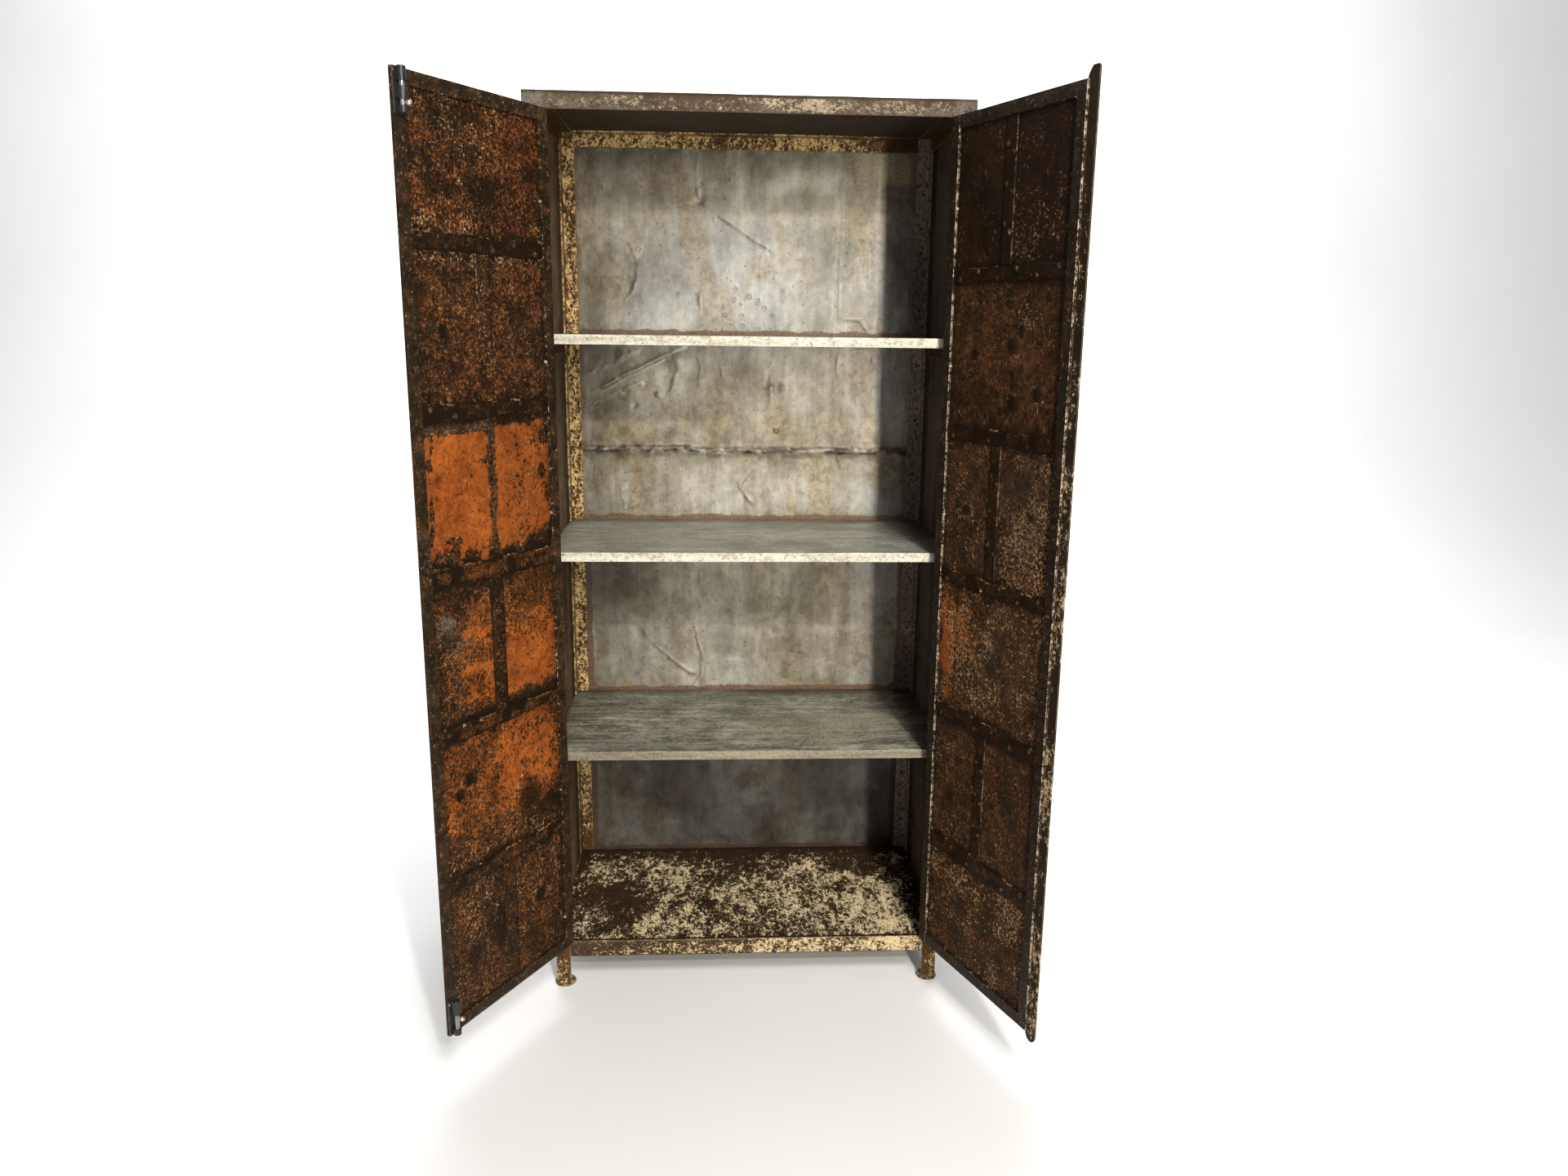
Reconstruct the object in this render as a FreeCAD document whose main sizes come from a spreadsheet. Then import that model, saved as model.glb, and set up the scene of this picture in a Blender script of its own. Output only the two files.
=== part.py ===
import FreeCAD, Part
import math
import os

# Two-door riveted iron cabinet: angle-iron carcass on four legs, three tray
# shelves, two flat-bar framed doors skinned with strapped sheets, a pair of
# tower bolts on the left leaf and a cover strip and hasp on the right leaf.
# Millimetres, +Z up, front towards -Y, origin on the floor at the centre of
# the four legs.  The doors are drawn shut and then swung to the stored pose.

V = FreeCAD.Vector
doc = FreeCAD.newDocument("RivetedCabinet")

# ---------------------------------------------------------------- dimensions
DIMENSIONS = [
    # carcass envelope
    ("total_height", 1900), ("half_width", 432), ("half_depth", 232),
    # corner posts, equal angle
    ("post_leg", 32), ("post_wall", 4),
    # round feet under the posts
    ("foot_radius", 24), ("foot_rise", 6), ("foot_inset", 17),
    # bottom and top frames, angle with the flat leg on top
    ("rail_wall", 4), ("rail_flat", 32), ("rail_drop", 38), ("rail_head", 110.5),
    ("crown_drop", 32),
    # cap sheet with turned-down lip
    ("cap_gauge", 1.5), ("cap_half_width", 440), ("cap_front", 233.5),
    ("cap_rear", 238.5), ("lip_foot", 1866), ("cap_corner", 6),
    # sheets
    ("floor_gauge", 1.5), ("floor_margin", 0.5), ("side_gauge", 1.2),
    ("back_gauge", 1.2), ("seam_level", 1164), ("seam_gap", 0.4),
    ("skin_head", 1897.5),
    # shelves
    ("shelf_high", 1446), ("shelf_mid", 998.5), ("shelf_low", 554),
    ("shelf_lip", 20), ("shelf_gauge", 1.5), ("shelf_front", 210),
    ("shelf_margin", 1), ("cleat_leg", 25), ("cleat_wall", 3),
    ("cleat_half", 195),
    # hinges
    ("pivot_across", 396), ("pivot_depth", 237), ("knuckle_radius", 5),
    ("pin_radius", 2.5), ("pin_play", 0.05), ("leaf_gauge", 2),
    ("leaf_reach", 28), ("hinge_half", 45), ("knuckle_half", 15),
    ("knuckle_gap", 0.4), ("hinge_low", 330), ("hinge_mid", 985),
    ("hinge_high", 1640),
    # doors
    ("door_edge", 392), ("door_meet", 1.5), ("door_foot", 113.5),
    ("door_head", 1864.5), ("skin_gauge", 1.5), ("bar_width", 25),
    ("bar_gauge", 5), ("leaf_front_right", 234), ("leaf_front_left", 233.5),
    ("strap_width", 30), ("strap_gauge", 3), ("upright_width_left", 37),
    ("upright_width_right", 31), ("upright_left", 198), ("upright_right", 202),
    ("left_strap_first", 1600), ("left_strap_second", 1308),
    ("left_strap_third", 1010), ("left_strap_fourth", 708),
    ("left_strap_fifth", 413),
    ("right_strap_first", 1565), ("right_strap_second", 1262),
    ("right_strap_third", 967), ("right_strap_fourth", 676),
    ("right_strap_fifth", 376),
    ("fit_gap", 0.2),
    ("left_swing", 120), ("right_swing", 112.8),
    # rivets
    ("rivet_radius", 2.4), ("rivet_head", 4.5), ("rivet_rise", 2.3),
    ("rivet_play", 0.1), ("screw_radius", 1.6), ("screw_head", 2.8),
    ("screw_rise", 1.2),
    # tower bolts on the left door
    ("bolt_across", 14.5), ("bolt_stand", 8.7), ("bolt_plate_width", 26),
    ("bolt_plate_gauge", 1.6), ("sleeve_radius", 7.5), ("sleeve_bore", 4.9),
    ("rod_radius", 4.5), ("knob_radius", 5), ("knob_reach", 13.5),
    ("stem_radius", 2.2), ("slot_half", 3), ("keeper_radius", 6.2),
    ("upper_bolt_foot", 1793), ("lower_bolt_head", 187),
    ("upper_knob_level", 1808), ("lower_knob_level", 152),
    # cover strip of the right door
    ("cover_inner", 9.5), ("cover_outer", 20.5), ("cover_gauge", 3),
    ("cover_over", 20), ("cover_round", 13), ("cover_hole_level", 1518),
    ("cover_hole_across", 8.5), ("cover_hole_radius", 3),
    # hasp and staple
    ("hasp_level", 950), ("hasp_across", 17), ("hasp_depth", 238.5),
    ("hasp_knuckle", 4), ("hasp_pin_radius", 2), ("hasp_half", 18),
    ("hasp_tongue", 63), ("hasp_gauge", 2), ("hasp_slot_across", 42),
    ("hasp_slot_half", 4.5), ("hasp_slot_tall", 12), ("hasp_fold", 150),
    ("staple_rod", 2.5), ("staple_half", 9), ("staple_shank", 250),
]

sheet = doc.addObject("Spreadsheet::Sheet", "Dims")
SIZE = {}
for row, (alias, value) in enumerate(DIMENSIONS, start=1):
    sheet.set("A%d" % row, alias)
    sheet.set("B%d" % row, str(value))
    sheet.setAlias("B%d" % row, alias)
    SIZE[alias] = float(value)
doc.recompute()


def D(name):
    return float(sheet.get(name))


def X(text):
    """Turn bare cell names in a formula into sheet references."""
    out, word = "", ""
    for ch in text + " ":
        if ch.isalpha() or ch == "_":
            word += ch
        else:
            if word:
                out += ("Dims." + word) if word in SIZE else word
                word = ""
            out += ch
    return out.strip()


# ------------------------------------------------------------------- helpers
nodes = []          # (object, label)


def box(name, x_low, x_high, y_low, y_high, z_low, z_high):
    b = doc.addObject("Part::Box", name)
    b.setExpression("Length", X("(%s) - (%s)" % (x_high, x_low)))
    b.setExpression("Width", X("(%s) - (%s)" % (y_high, y_low)))
    b.setExpression("Height", X("(%s) - (%s)" % (z_high, z_low)))
    b.setExpression("Placement.Base.x", X(x_low))
    b.setExpression("Placement.Base.y", X(y_low))
    b.setExpression("Placement.Base.z", X(z_low))
    return b


def post_cyl(name, radius, x_mid, y_mid, z_low, z_high):
    """Upright cylinder."""
    c = doc.addObject("Part::Cylinder", name)
    c.setExpression("Radius", X(radius))
    c.setExpression("Height", X("(%s) - (%s)" % (z_high, z_low)))
    c.setExpression("Placement.Base.x", X(x_mid))
    c.setExpression("Placement.Base.y", X(y_mid))
    c.setExpression("Placement.Base.z", X(z_low))
    return c


def deep_cyl(name, radius, x_mid, z_mid, y_low, y_high):
    """Cylinder along +Y, from y_low to y_high."""
    c = doc.addObject("Part::Cylinder", name)
    c.Placement = FreeCAD.Placement(V(0, 0, 0), FreeCAD.Rotation(V(1, 0, 0), -90))
    c.setExpression("Radius", X(radius))
    c.setExpression("Height", X("(%s) - (%s)" % (y_high, y_low)))
    c.setExpression("Placement.Base.x", X(x_mid))
    c.setExpression("Placement.Base.y", X(y_low))
    c.setExpression("Placement.Base.z", X(z_mid))
    return c


def fuse(name, parts):
    f = doc.addObject("Part::MultiFuse", name)
    f.Shapes = parts
    f.Refine = True
    return f


def cut(name, base, tool):
    c = doc.addObject("Part::Cut", name)
    c.Base = base
    c.Tool = tool
    c.Refine = True
    return c


def group(name, parts):
    g = doc.addObject("Part::Compound", name)
    g.Links = parts
    return g


def shape_object(name, shape):
    f = doc.addObject("Part::Feature", name)
    f.Shape = shape
    return f


def node(obj, label, swing=None):
    obj.Label = label
    if swing is not None:
        obj.Placement = swing.multiply(obj.Placement)
    nodes.append((obj, label))
    return obj


def origin_plane(body, role):
    for feature in body.Origin.OriginFeatures:
        if feature.Role == role:
            return feature
    raise RuntimeError(role)


def angle_iron(name, flat, drop, wall, length, turn, at):
    """Rolled angle: an L drawn in a sketch and padded along its length.

    The outside corner runs along the local Z axis, one leg lies along local X
    and the other along local Y.
    """
    body = doc.addObject("PartDesign::Body", name)
    sk = body.newObject("Sketcher::SketchObject", name + "Profile")
    sk.AttachmentSupport = [(origin_plane(body, "XY_Plane"), "")]
    sk.MapMode = "FlatFace"
    import Sketcher
    f, d, w = (20.0, 22.0, 3.0)
    pts = [(0, 0), (f, 0), (f, w), (w, w), (w, d), (0, d)]
    for i in range(6):
        a, b = pts[i], pts[(i + 1) % 6]
        sk.addGeometry(Part.LineSegment(V(a[0], a[1], 0), V(b[0], b[1], 0)), False)
    for i in range(6):
        sk.addConstraint(Sketcher.Constraint("Coincident", i, 2, (i + 1) % 6, 1))
    for i in (0, 2, 4):
        sk.addConstraint(Sketcher.Constraint("Horizontal", i))
    for i in (1, 3, 5):
        sk.addConstraint(Sketcher.Constraint("Vertical", i))
    sk.addConstraint(Sketcher.Constraint("Coincident", 0, 1, -1, 1))
    for label, edge, kind, value, formula in (
            ("Flat", 0, "DistanceX", f, flat), ("Drop", 5, "DistanceY", d, drop),
            ("WallFlat", 1, "DistanceY", w, wall), ("WallDrop", 4, "DistanceX", w, wall)):
        first, second = (1, 2) if label in ("Flat", "WallFlat") else (2, 1)
        k = sk.addConstraint(Sketcher.Constraint(kind, edge, first, edge, second, value))
        sk.renameConstraint(k, label)
        sk.setExpression("Constraints." + label, X(formula))
    pad = body.newObject("PartDesign::Pad", name + "Bar")
    pad.Profile = sk
    pad.setExpression("Length", X(length))
    body.Tip = pad
    body.Placement = FreeCAD.Placement(V(0, 0, 0), turn)
    body.setExpression("Placement.Base.x", X(at[0]))
    body.setExpression("Placement.Base.y", X(at[1]))
    body.setExpression("Placement.Base.z", X(at[2]))
    return body


def frame_turn(x_to, y_to):
    """Rotation that lays local X and local Y along two given directions."""
    z_to = V(*x_to).cross(V(*y_to))
    return FreeCAD.Rotation(V(*x_to), V(*y_to), z_to, "XYZ")


def rivet(at, out, grip, tail=False, small=False):
    """Snap-head rivet: head stands on the point `at` along `out`, shank goes
    back through the grip, with a second head behind it when `tail`."""
    r = D("screw_radius") if small else D("rivet_radius")
    rh = D("screw_head") if small else D("rivet_head")
    rise = D("screw_rise") if small else D("rivet_rise")

    def half_outline(z0, s):
        ball = (rh * rh + rise * rise) / (2 * rise)
        mid = V(ball * math.sin(0.5 * math.asin(rh / ball)), 0,
                z0 + s * (rise - ball + ball * math.cos(0.5 * math.asin(rh / ball))))
        return Part.Arc(V(rh, 0, z0), mid, V(0, 0, z0 + s * rise)).toShape()

    edges = [half_outline(0, 1)]
    edges.append(Part.LineSegment(V(0, 0, rise), V(0, 0, -grip - (rise if tail else 0))).toShape())
    if tail:
        edges.append(half_outline(-grip, -1))
        edges.append(Part.LineSegment(V(rh, 0, -grip), V(r, 0, -grip)).toShape())
    else:
        edges.append(Part.LineSegment(V(0, 0, -grip), V(r, 0, -grip)).toShape())
    edges.append(Part.LineSegment(V(r, 0, -grip), V(r, 0, 0)).toShape())
    edges.append(Part.LineSegment(V(r, 0, 0), V(rh, 0, 0)).toShape())
    wire = Part.Wire(Part.__sortEdges__(edges))
    solid = Part.Face(wire).revolve(V(0, 0, 0), V(0, 0, 1), 360)
    solid = Part.Solid(solid.Shells[0]) if solid.ShapeType != "Solid" else solid
    if solid.Volume < 0:
        solid.reverse()
    turn = FreeCAD.Rotation(V(0, 0, 1), V(*out))
    solid.Placement = FreeCAD.Placement(V(*at), turn)
    return solid


def drill(at, out, grip, small=False):
    r = (D("screw_radius") if small else D("rivet_radius")) + D("rivet_play")
    o = V(*out)
    return Part.makeCylinder(r, grip + 2.0, V(*at) + o * 1.0, o * -1.0)


# -------------------------------------------------------------------- rivets
# Every rivet is set out once here; the same list drills the plates it joins.
hw, hd, leg = D("half_width"), D("half_depth"), D("post_leg")
sg, bg, wall = D("side_gauge"), D("back_gauge"), D("post_wall")
hinge_levels = [D("hinge_low"), D("hinge_mid"), D("hinge_high")]
shelf_levels = [D("shelf_high"), D("shelf_mid"), D("shelf_low")]

carcass_set = []    # (at, out, grip, tail)
for sx in (-1, 1):
    for sy in (-1, 1):
        for k in range(13):
            carcass_set.append(((sx * (hw + sg), sy * (hd - leg / 2), 150 + k * 140.0),
                                (sx, 0, 0), sg + wall, False))
    for k in range(13):
        carcass_set.append(((sx * (hw - leg / 2), hd + bg, 190 + k * 132.0),
                            (0, 1, 0), bg + wall, False))
    for y in (-130, 0, 130):
        for z in (D("rail_head") - 19, D("total_height") - D("cap_gauge") - 17):
            carcass_set.append(((sx * (hw + sg), y, z), (sx, 0, 0), sg + D("rail_wall"), False))
        for top in shelf_levels:
            z = top - D("shelf_lip") - 15
            carcass_set.append(((sx * (hw + sg), y, z), (sx, 0, 0), sg + D("cleat_wall"), False))
    for level in hinge_levels:
        for dz in (-32, 0, 32):
            carcass_set.append(((sx * 413.0, -hd - D("leaf_gauge"), level + dz),
                                (0, -1, 0), D("leaf_gauge") + wall, False))
for x in (-300, -150, 0, 150, 300):
    for z in (D("rail_head") - 19, D("total_height") - D("cap_gauge") - 17):
        carcass_set.append(((x, hd + bg, z), (0, 1, 0), bg + D("rail_wall"), False))

carcass_drills = shape_object("CarcassDrills", Part.makeCompound(
    [drill(a, o, g) for a, o, g, t in carcass_set]))

# ------------------------------------------------------------- carcass frame
turns = {"front_left": 0, "front_right": 90, "rear_right": 180, "rear_left": 270}
for place, deg in turns.items():
    sx = "-half_width" if "left" in place else "half_width"
    sy = "-half_depth" if "front" in place else "half_depth"
    title = "Post" + place.title().replace("_", "")
    bar = angle_iron(title, "post_leg", "post_leg", "post_wall",
                     "total_height - cap_gauge - foot_rise",
                     FreeCAD.Rotation(V(0, 0, 1), deg), (sx, sy, "foot_rise"))
    node(cut(title + "Drilled", bar, carcass_drills), "post_" + place)

feet = []
for sx in ("-", ""):
    for sy in ("-", ""):
        feet.append(post_cyl("FootDisc%d" % len(feet), "foot_radius",
                             sx + "(half_width - foot_inset)",
                             sy + "(half_depth - foot_inset)", "0", "foot_rise"))
node(group("FootDiscs", feet), "foot_discs")

span_x = "2*(half_width - post_leg)"
span_y = "2*(half_depth - post_leg)"
front_turn = frame_turn((0, 1, 0), (0, 0, -1))
rear_turn = frame_turn((0, -1, 0), (0, 0, -1))
left_turn = frame_turn((1, 0, 0), (0, 0, -1))
right_turn = frame_turn((-1, 0, 0), (0, 0, -1))
keeper = post_cyl("KeeperDrill", "keeper_radius", "-bolt_across",
                  "-(leaf_front_left - skin_gauge - bar_gauge) + bolt_stand",
                  "60", "140")
for tag, drop, head in (("Bottom", "rail_drop", "rail_head"),
                        ("Top", "crown_drop", "total_height - cap_gauge")):
    low = tag.lower()
    fr = angle_iron(tag + "RailFront", "rail_flat", drop, "rail_wall", span_x, front_turn,
                    ("half_width - post_leg", "-half_depth", head))
    rr = angle_iron(tag + "RailRear", "rail_flat", drop, "rail_wall", span_x, rear_turn,
                    ("-(half_width - post_leg)", "half_depth", head))
    lr = angle_iron(tag + "RailLeft", "rail_flat", drop, "rail_wall", span_y, left_turn,
                    ("-half_width", "-(half_depth - post_leg)", head))
    rg = angle_iron(tag + "RailRight", "rail_flat", drop, "rail_wall", span_y, right_turn,
                    ("half_width", "half_depth - post_leg", head))
    if tag == "Bottom":
        node(cut("BottomRailFrontDrilled", fr, keeper), "bottom_rail_front")
    else:
        node(fr, "top_rail_front")
    node(cut(tag + "RailRearDrilled", rr, carcass_drills), low + "_rail_rear")
    node(group(tag + "RailsSide", [cut(tag + "RailLeftDrilled", lr, carcass_drills),
                                   cut(tag + "RailRightDrilled", rg, carcass_drills)]),
         low + "_rails_side")

# ------------------------------------------------------------ carcass sheets
outer = box("CapBlock", "-cap_half_width", "cap_half_width", "-cap_front", "cap_rear",
            "lip_foot", "total_height")
inner = box("CapHollow", "-(cap_half_width - cap_gauge)", "cap_half_width - cap_gauge",
            "-(cap_front - cap_gauge)", "cap_rear - cap_gauge",
            "lip_foot - 1", "total_height - cap_gauge")
doc.recompute()


def upright_edges(obj):
    return [i for i, e in enumerate(obj.Shape.Edges, start=1)
            if abs(e.Vertexes[0].X - e.Vertexes[1].X) < 1e-6
            and abs(e.Vertexes[0].Y - e.Vertexes[1].Y) < 1e-6]


rounded = []
for obj, radius in ((outer, D("cap_corner")), (inner, D("cap_corner") - D("cap_gauge"))):
    fl = doc.addObject("Part::Fillet", obj.Name + "Rounded")
    fl.Base = obj
    fl.Edges = [(i, radius, radius) for i in upright_edges(obj)]
    rounded.append(fl)
doc.recompute()
node(cut("CapSheet", rounded[0], rounded[1]), "top_cap")

floor_plate = fuse("FloorBlank", [
    box("FloorMain", "-(half_width - post_wall - floor_margin)", "half_width - post_wall - floor_margin",
        "-(half_depth - post_wall - floor_margin)", "half_depth - post_wall - floor_margin",
        "rail_head", "rail_head + floor_gauge"),
    box("FloorTongue", "-(half_width - post_leg - floor_margin)", "half_width - post_leg - floor_margin",
        "-half_depth", "-(half_depth - post_wall - 2)",
        "rail_head", "rail_head + floor_gauge")])
node(cut("FloorSheet", floor_plate, keeper), "floor_sheet")

for tag, low, high in (("upper", "seam_level + seam_gap/2", "skin_head"),
                       ("lower", "rail_head - rail_drop", "seam_level - seam_gap/2")):
    blank = box("Back" + tag.title() + "Blank", "-(half_width + side_gauge)", "half_width + side_gauge",
                "half_depth", "half_depth + back_gauge", low, high)
    node(cut("BackSheet" + tag.title(), blank, carcass_drills), "back_sheet_" + tag)

for tag, low, high in (("left", "-(half_width + side_gauge)", "-half_width"),
                       ("right", "half_width", "half_width + side_gauge")):
    blank = box("Side" + tag.title() + "Blank", low, high, "-half_depth", "half_depth",
                "rail_head - rail_drop", "skin_head")
    node(cut("SideSheet" + tag.title(), blank, carcass_drills), "side_sheet_" + tag)

# ------------------------------------------------------------------- shelves
cleats = []
for tag, top in (("upper", "shelf_high"), ("middle", "shelf_mid"), ("lower", "shelf_low")):
    t = "Shelf" + tag.title()
    inner_x = "half_width - post_wall - shelf_margin"
    inner_y = "half_depth - post_wall - shelf_margin"
    wide_x = "half_width - shelf_margin"
    wide_y = "half_depth - post_leg - shelf_margin"
    under = "%s - shelf_lip" % top
    plate = "%s - shelf_gauge" % top
    tray = fuse(t, [
        box(t + "Deck", "-(%s)" % inner_x, inner_x, "-shelf_front", inner_y, plate, top),
        box(t + "Wings", "-(%s)" % wide_x, wide_x, "-(%s)" % wide_y, wide_y, plate, top),
        box(t + "FrontLip", "-(%s)" % inner_x, inner_x, "-shelf_front",
            "-shelf_front + shelf_gauge", under, top),
        box(t + "RearLip", "-(%s)" % inner_x, inner_x, "%s - shelf_gauge" % inner_y,
            inner_y, under, top),
        box(t + "LeftLip", "-(%s)" % wide_x, "-(%s) + shelf_gauge" % wide_x,
            "-(%s)" % wide_y, wide_y, under, top),
        box(t + "RightLip", "%s - shelf_gauge" % wide_x, wide_x,
            "-(%s)" % wide_y, wide_y, under, top)])
    node(tray, "shelf_" + tag)
    for side, turn, at_x, at_y in (("Left", left_turn, "-half_width", "-cleat_half"),
                                   ("Right", right_turn, "half_width", "cleat_half")):
        c = angle_iron("Cleat" + tag.title() + side, "cleat_leg", "cleat_leg", "cleat_wall",
                       "2*cleat_half", turn, (at_x, at_y, under))
        cleats.append(cut("Cleat" + tag.title() + side + "Drilled", c, carcass_drills))
node(group("ShelfCleats", cleats), "shelf_cleats")

node(shape_object("CarcassRivets", Part.makeCompound(
    [rivet(a, o, g, t) for a, o, g, t in carcass_set])), "carcass_rivets")

# -------------------------------------------------------------------- hinges
swing_left = FreeCAD.Placement(V(0, 0, 0), FreeCAD.Rotation(V(0, 0, 1), -D("left_swing")),
                               V(-D("pivot_across"), -D("pivot_depth"), 0))
swing_right = FreeCAD.Placement(V(0, 0, 0), FreeCAD.Rotation(V(0, 0, 1), D("right_swing")),
                                V(D("pivot_across"), -D("pivot_depth"), 0))
post_leaves, pins, door_leaves = [], [], {"left": [], "right": []}
for side, s in (("left", "-"), ("right", "")):
    ax = s + "pivot_across"
    for tag, level in (("Low", "hinge_low"), ("Mid", "hinge_mid"), ("High", "hinge_high")):
        t = side.title() + "Hinge" + tag
        clear = "knuckle_radius + 0.5"

        def span(low, high):
            """Across the hinge axis, outward from the axis towards the post."""
            return (("-(pivot_across + %s)" % high, "-(pivot_across + %s)" % low) if s == "-"
                    else ("pivot_across + %s" % low, "pivot_across + %s" % high))

        def span_in(low, high):
            """Across the hinge axis, inward from the axis towards the door."""
            return (("-(pivot_across - (%s))" % low, "-(pivot_across - (%s))" % high) if s == "-"
                    else ("pivot_across - (%s)" % high, "pivot_across - (%s)" % low))

        a, b = span("(%s)" % clear, "leaf_reach")
        bits = [box(t + "PostPlate", a, b, "-half_depth - leaf_gauge", "-half_depth",
                    level + " - hinge_half", level + " + hinge_half")]
        for n, z0, z1 in ((0, level + " - hinge_half", level + " - knuckle_half"),
                          (1, level + " + knuckle_half", level + " + hinge_half")):
            a, b = span("0", "(%s)" % clear)
            bits.append(box(t + "PostTab%d" % n, a, b, "-half_depth - leaf_gauge", "-half_depth", z0, z1))
            bits.append(post_cyl(t + "PostKnuckle%d" % n, "knuckle_radius", ax, "-pivot_depth", z0, z1))
        bore = post_cyl(t + "Bore", "pin_radius + pin_play", ax, "-pivot_depth",
                        level + " - hinge_half - 5", level + " + hinge_half + 5")
        post_leaves.append(cut(t + "PostLeaf",
                               cut(t + "PostLeafBlank", fuse(t + "PostBlank", bits), bore),
                               carcass_drills))
        pins.append(fuse(t + "Pin", [
            post_cyl(t + "PinShank", "pin_radius", ax, "-pivot_depth",
                     level + " - hinge_half - 1", level + " + hinge_half + 1"),
            post_cyl(t + "PinHead", "knuckle_radius - 1", ax, "-pivot_depth",
                     level + " + hinge_half + 0.2", level + " + hinge_half + 2.2")]))
        front = "leaf_front_" + side
        a, b = span_in(clear, "leaf_reach")
        c, d = span_in("0", clear)
        half = "knuckle_half - knuckle_gap"
        blank = fuse(t + "DoorBlank", [
            box(t + "DoorPlate", a, b, "-%s - leaf_gauge" % front, "-" + front,
                level + " - hinge_half", level + " + hinge_half"),
            box(t + "DoorTab", c, d, "-%s - leaf_gauge" % front, "-" + front,
                "%s - (%s)" % (level, half), "%s + %s" % (level, half)),
            post_cyl(t + "DoorKnuckle", "knuckle_radius", ax, "-pivot_depth",
                     "%s - (%s)" % (level, half), "%s + %s" % (level, half))])
        door_leaves[side].append(cut(t + "DoorLeafBlank", blank, bore))
node(group("HingePostLeaves", post_leaves), "hinge_post_leaves")
node(group("HingePins", pins), "hinge_pins")

# --------------------------------------------------------------------- doors
order = ("first", "second", "third", "fourth", "fifth")
edge, meet, bw = D("door_edge"), D("door_meet"), D("bar_width")
hasp_z = D("hasp_level")
for side, sx, swing in (("left", -1, swing_left), ("right", 1, swing_right)):
    T = side.title() + "Door"
    s = "-" if sx < 0 else ""
    front = "leaf_front_" + side
    face = D(front)
    in_sheet = "-(%s - skin_gauge)" % front
    in_bar = "-(%s - skin_gauge - bar_gauge)" % front
    in_strap = "-(%s - skin_gauge - strap_gauge)" % front

    def across(low, high):
        """Two distances from the centre line, low < high, on this side."""
        return (("-(%s)" % high, "-(%s)" % low) if sx < 0 else (low, high))

    # rivets of this leaf, drawn shut
    straps = [D("%s_strap_%s" % (side, o)) for o in order]
    up_x = D("upright_" + side)
    up_off = 11.0 if side == "left" else 8.5
    up_rows = (1, 3, 5) if side == "left" else (0, 2, 4)
    bounds = [D("door_head")] + straps + [D("door_foot")]
    rivets = []
    y_out = -face
    grip_strap = D("skin_gauge") + D("strap_gauge")
    grip_bar = D("skin_gauge") + D("bar_gauge")
    for i, z in enumerate(straps):
        for k in range(6):
            x = edge - 47 - k * 59.5
            rivets.append(((sx * x, y_out, z + (7 if k % 2 else -7)), (0, -1, 0), grip_strap, True, False))
    for r in up_rows:
        top, low = bounds[r], bounds[r + 1]
        for f in (0.27, 0.5, 0.73):
            for o in (-up_off, up_off):
                rivets.append(((sx * (up_x + o), y_out, low + f * (top - low) + o * 0.9),
                               (0, -1, 0), grip_strap, True, False))
    for k in range(13):
        z = 180 + k * 134.0
        if all(abs(z - h) > 62 for h in hinge_levels):
            rivets.append(((sx * (edge - bw / 2), y_out, z), (0, -1, 0), grip_bar, False, False))
        if side == "right" and abs(z - hasp_z) > 45:
            rivets.append(((sx * (meet + 16.5), y_out, z), (0, -1, 0), grip_bar, False, False))
    for x in (70, 150, 240, 320):
        for z in (D("door_foot") + bw / 2, D("door_head") - bw / 2):
            rivets.append(((sx * x, y_out, z), (0, -1, 0), grip_bar, False, False))
    for level in hinge_levels:
        for dz in (-24, 24):
            rivets.append(((sx * (D("pivot_across") - 19), y_out - D("leaf_gauge"), level + dz),
                           (0, -1, 0), D("leaf_gauge") + grip_bar, False, False))
    if side == "left":
        for x, z in ((52, 14), (52, -14), (32, 14), (32, -14)):
            rivets.append(((-x, y_out - D("hasp_gauge"), hasp_z + z), (0, -1, 0),
                           D("hasp_gauge") + D("skin_gauge"), False, True))
        bolt_face = D(front) - D("skin_gauge") - D("bar_gauge")
        for z0, z1 in ((D("upper_bolt_foot"), D("door_head")), (D("door_foot"), D("lower_bolt_head"))):
            for z in (z0 + 6, z1 - 6):
                for dx in (-9.6, 9.6):
                    rivets.append(((-D("bolt_across") + dx, -bolt_face + D("bolt_plate_gauge"), z),
                                   (0, 1, 0), D("bolt_plate_gauge") + D("bar_gauge") - 1, False, True))
    else:
        for z in (130, 330, 530, 730, 870, 1070, 1270, 1455, 1640, 1840):
            rivets.append(((meet + 4.0, y_out - D("cover_gauge"), z), (0, -1, 0),
                           D("cover_gauge") + grip_bar, False, True))
        for x, z in ((45, 12), (45, -12), (30, 12), (30, -12)):
            rivets.append(((x, y_out - D("hasp_gauge"), hasp_z + z), (0, -1, 0),
                           D("hasp_gauge") + D("skin_gauge"), False, True))
    drills = shape_object(T + "Drills", Part.makeCompound(
        [drill(a, o, g + 0.01, m) for a, o, g, t, m in rivets]))

    # frame of flat bars
    for tag, low, high in (("hinge_stile", "door_edge - bar_width", "door_edge"),
                           ("free_stile", "door_meet", "door_meet + bar_width")):
        a, b = across(low, high)
        bar = box(T + tag.title().replace("_", "") + "Bar", a, b, in_sheet, in_bar, "door_foot", "door_head")
        node(cut(T + tag.title().replace("_", ""), bar, drills), "%s_door_%s" % (side, tag), swing)
    rails = []
    for tag, low, high in (("Foot", "door_foot", "door_foot + bar_width"),
                           ("Head", "door_head - bar_width", "door_head")):
        a, b = across("door_meet + bar_width", "door_edge - bar_width")
        bar = box(T + tag + "RailBar", a, b, in_sheet, in_bar, low, high)
        rails.append(cut(T + tag + "Rail", bar, drills))
    node(group(T + "Rails", rails), side + "_door_rails", swing)

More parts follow.
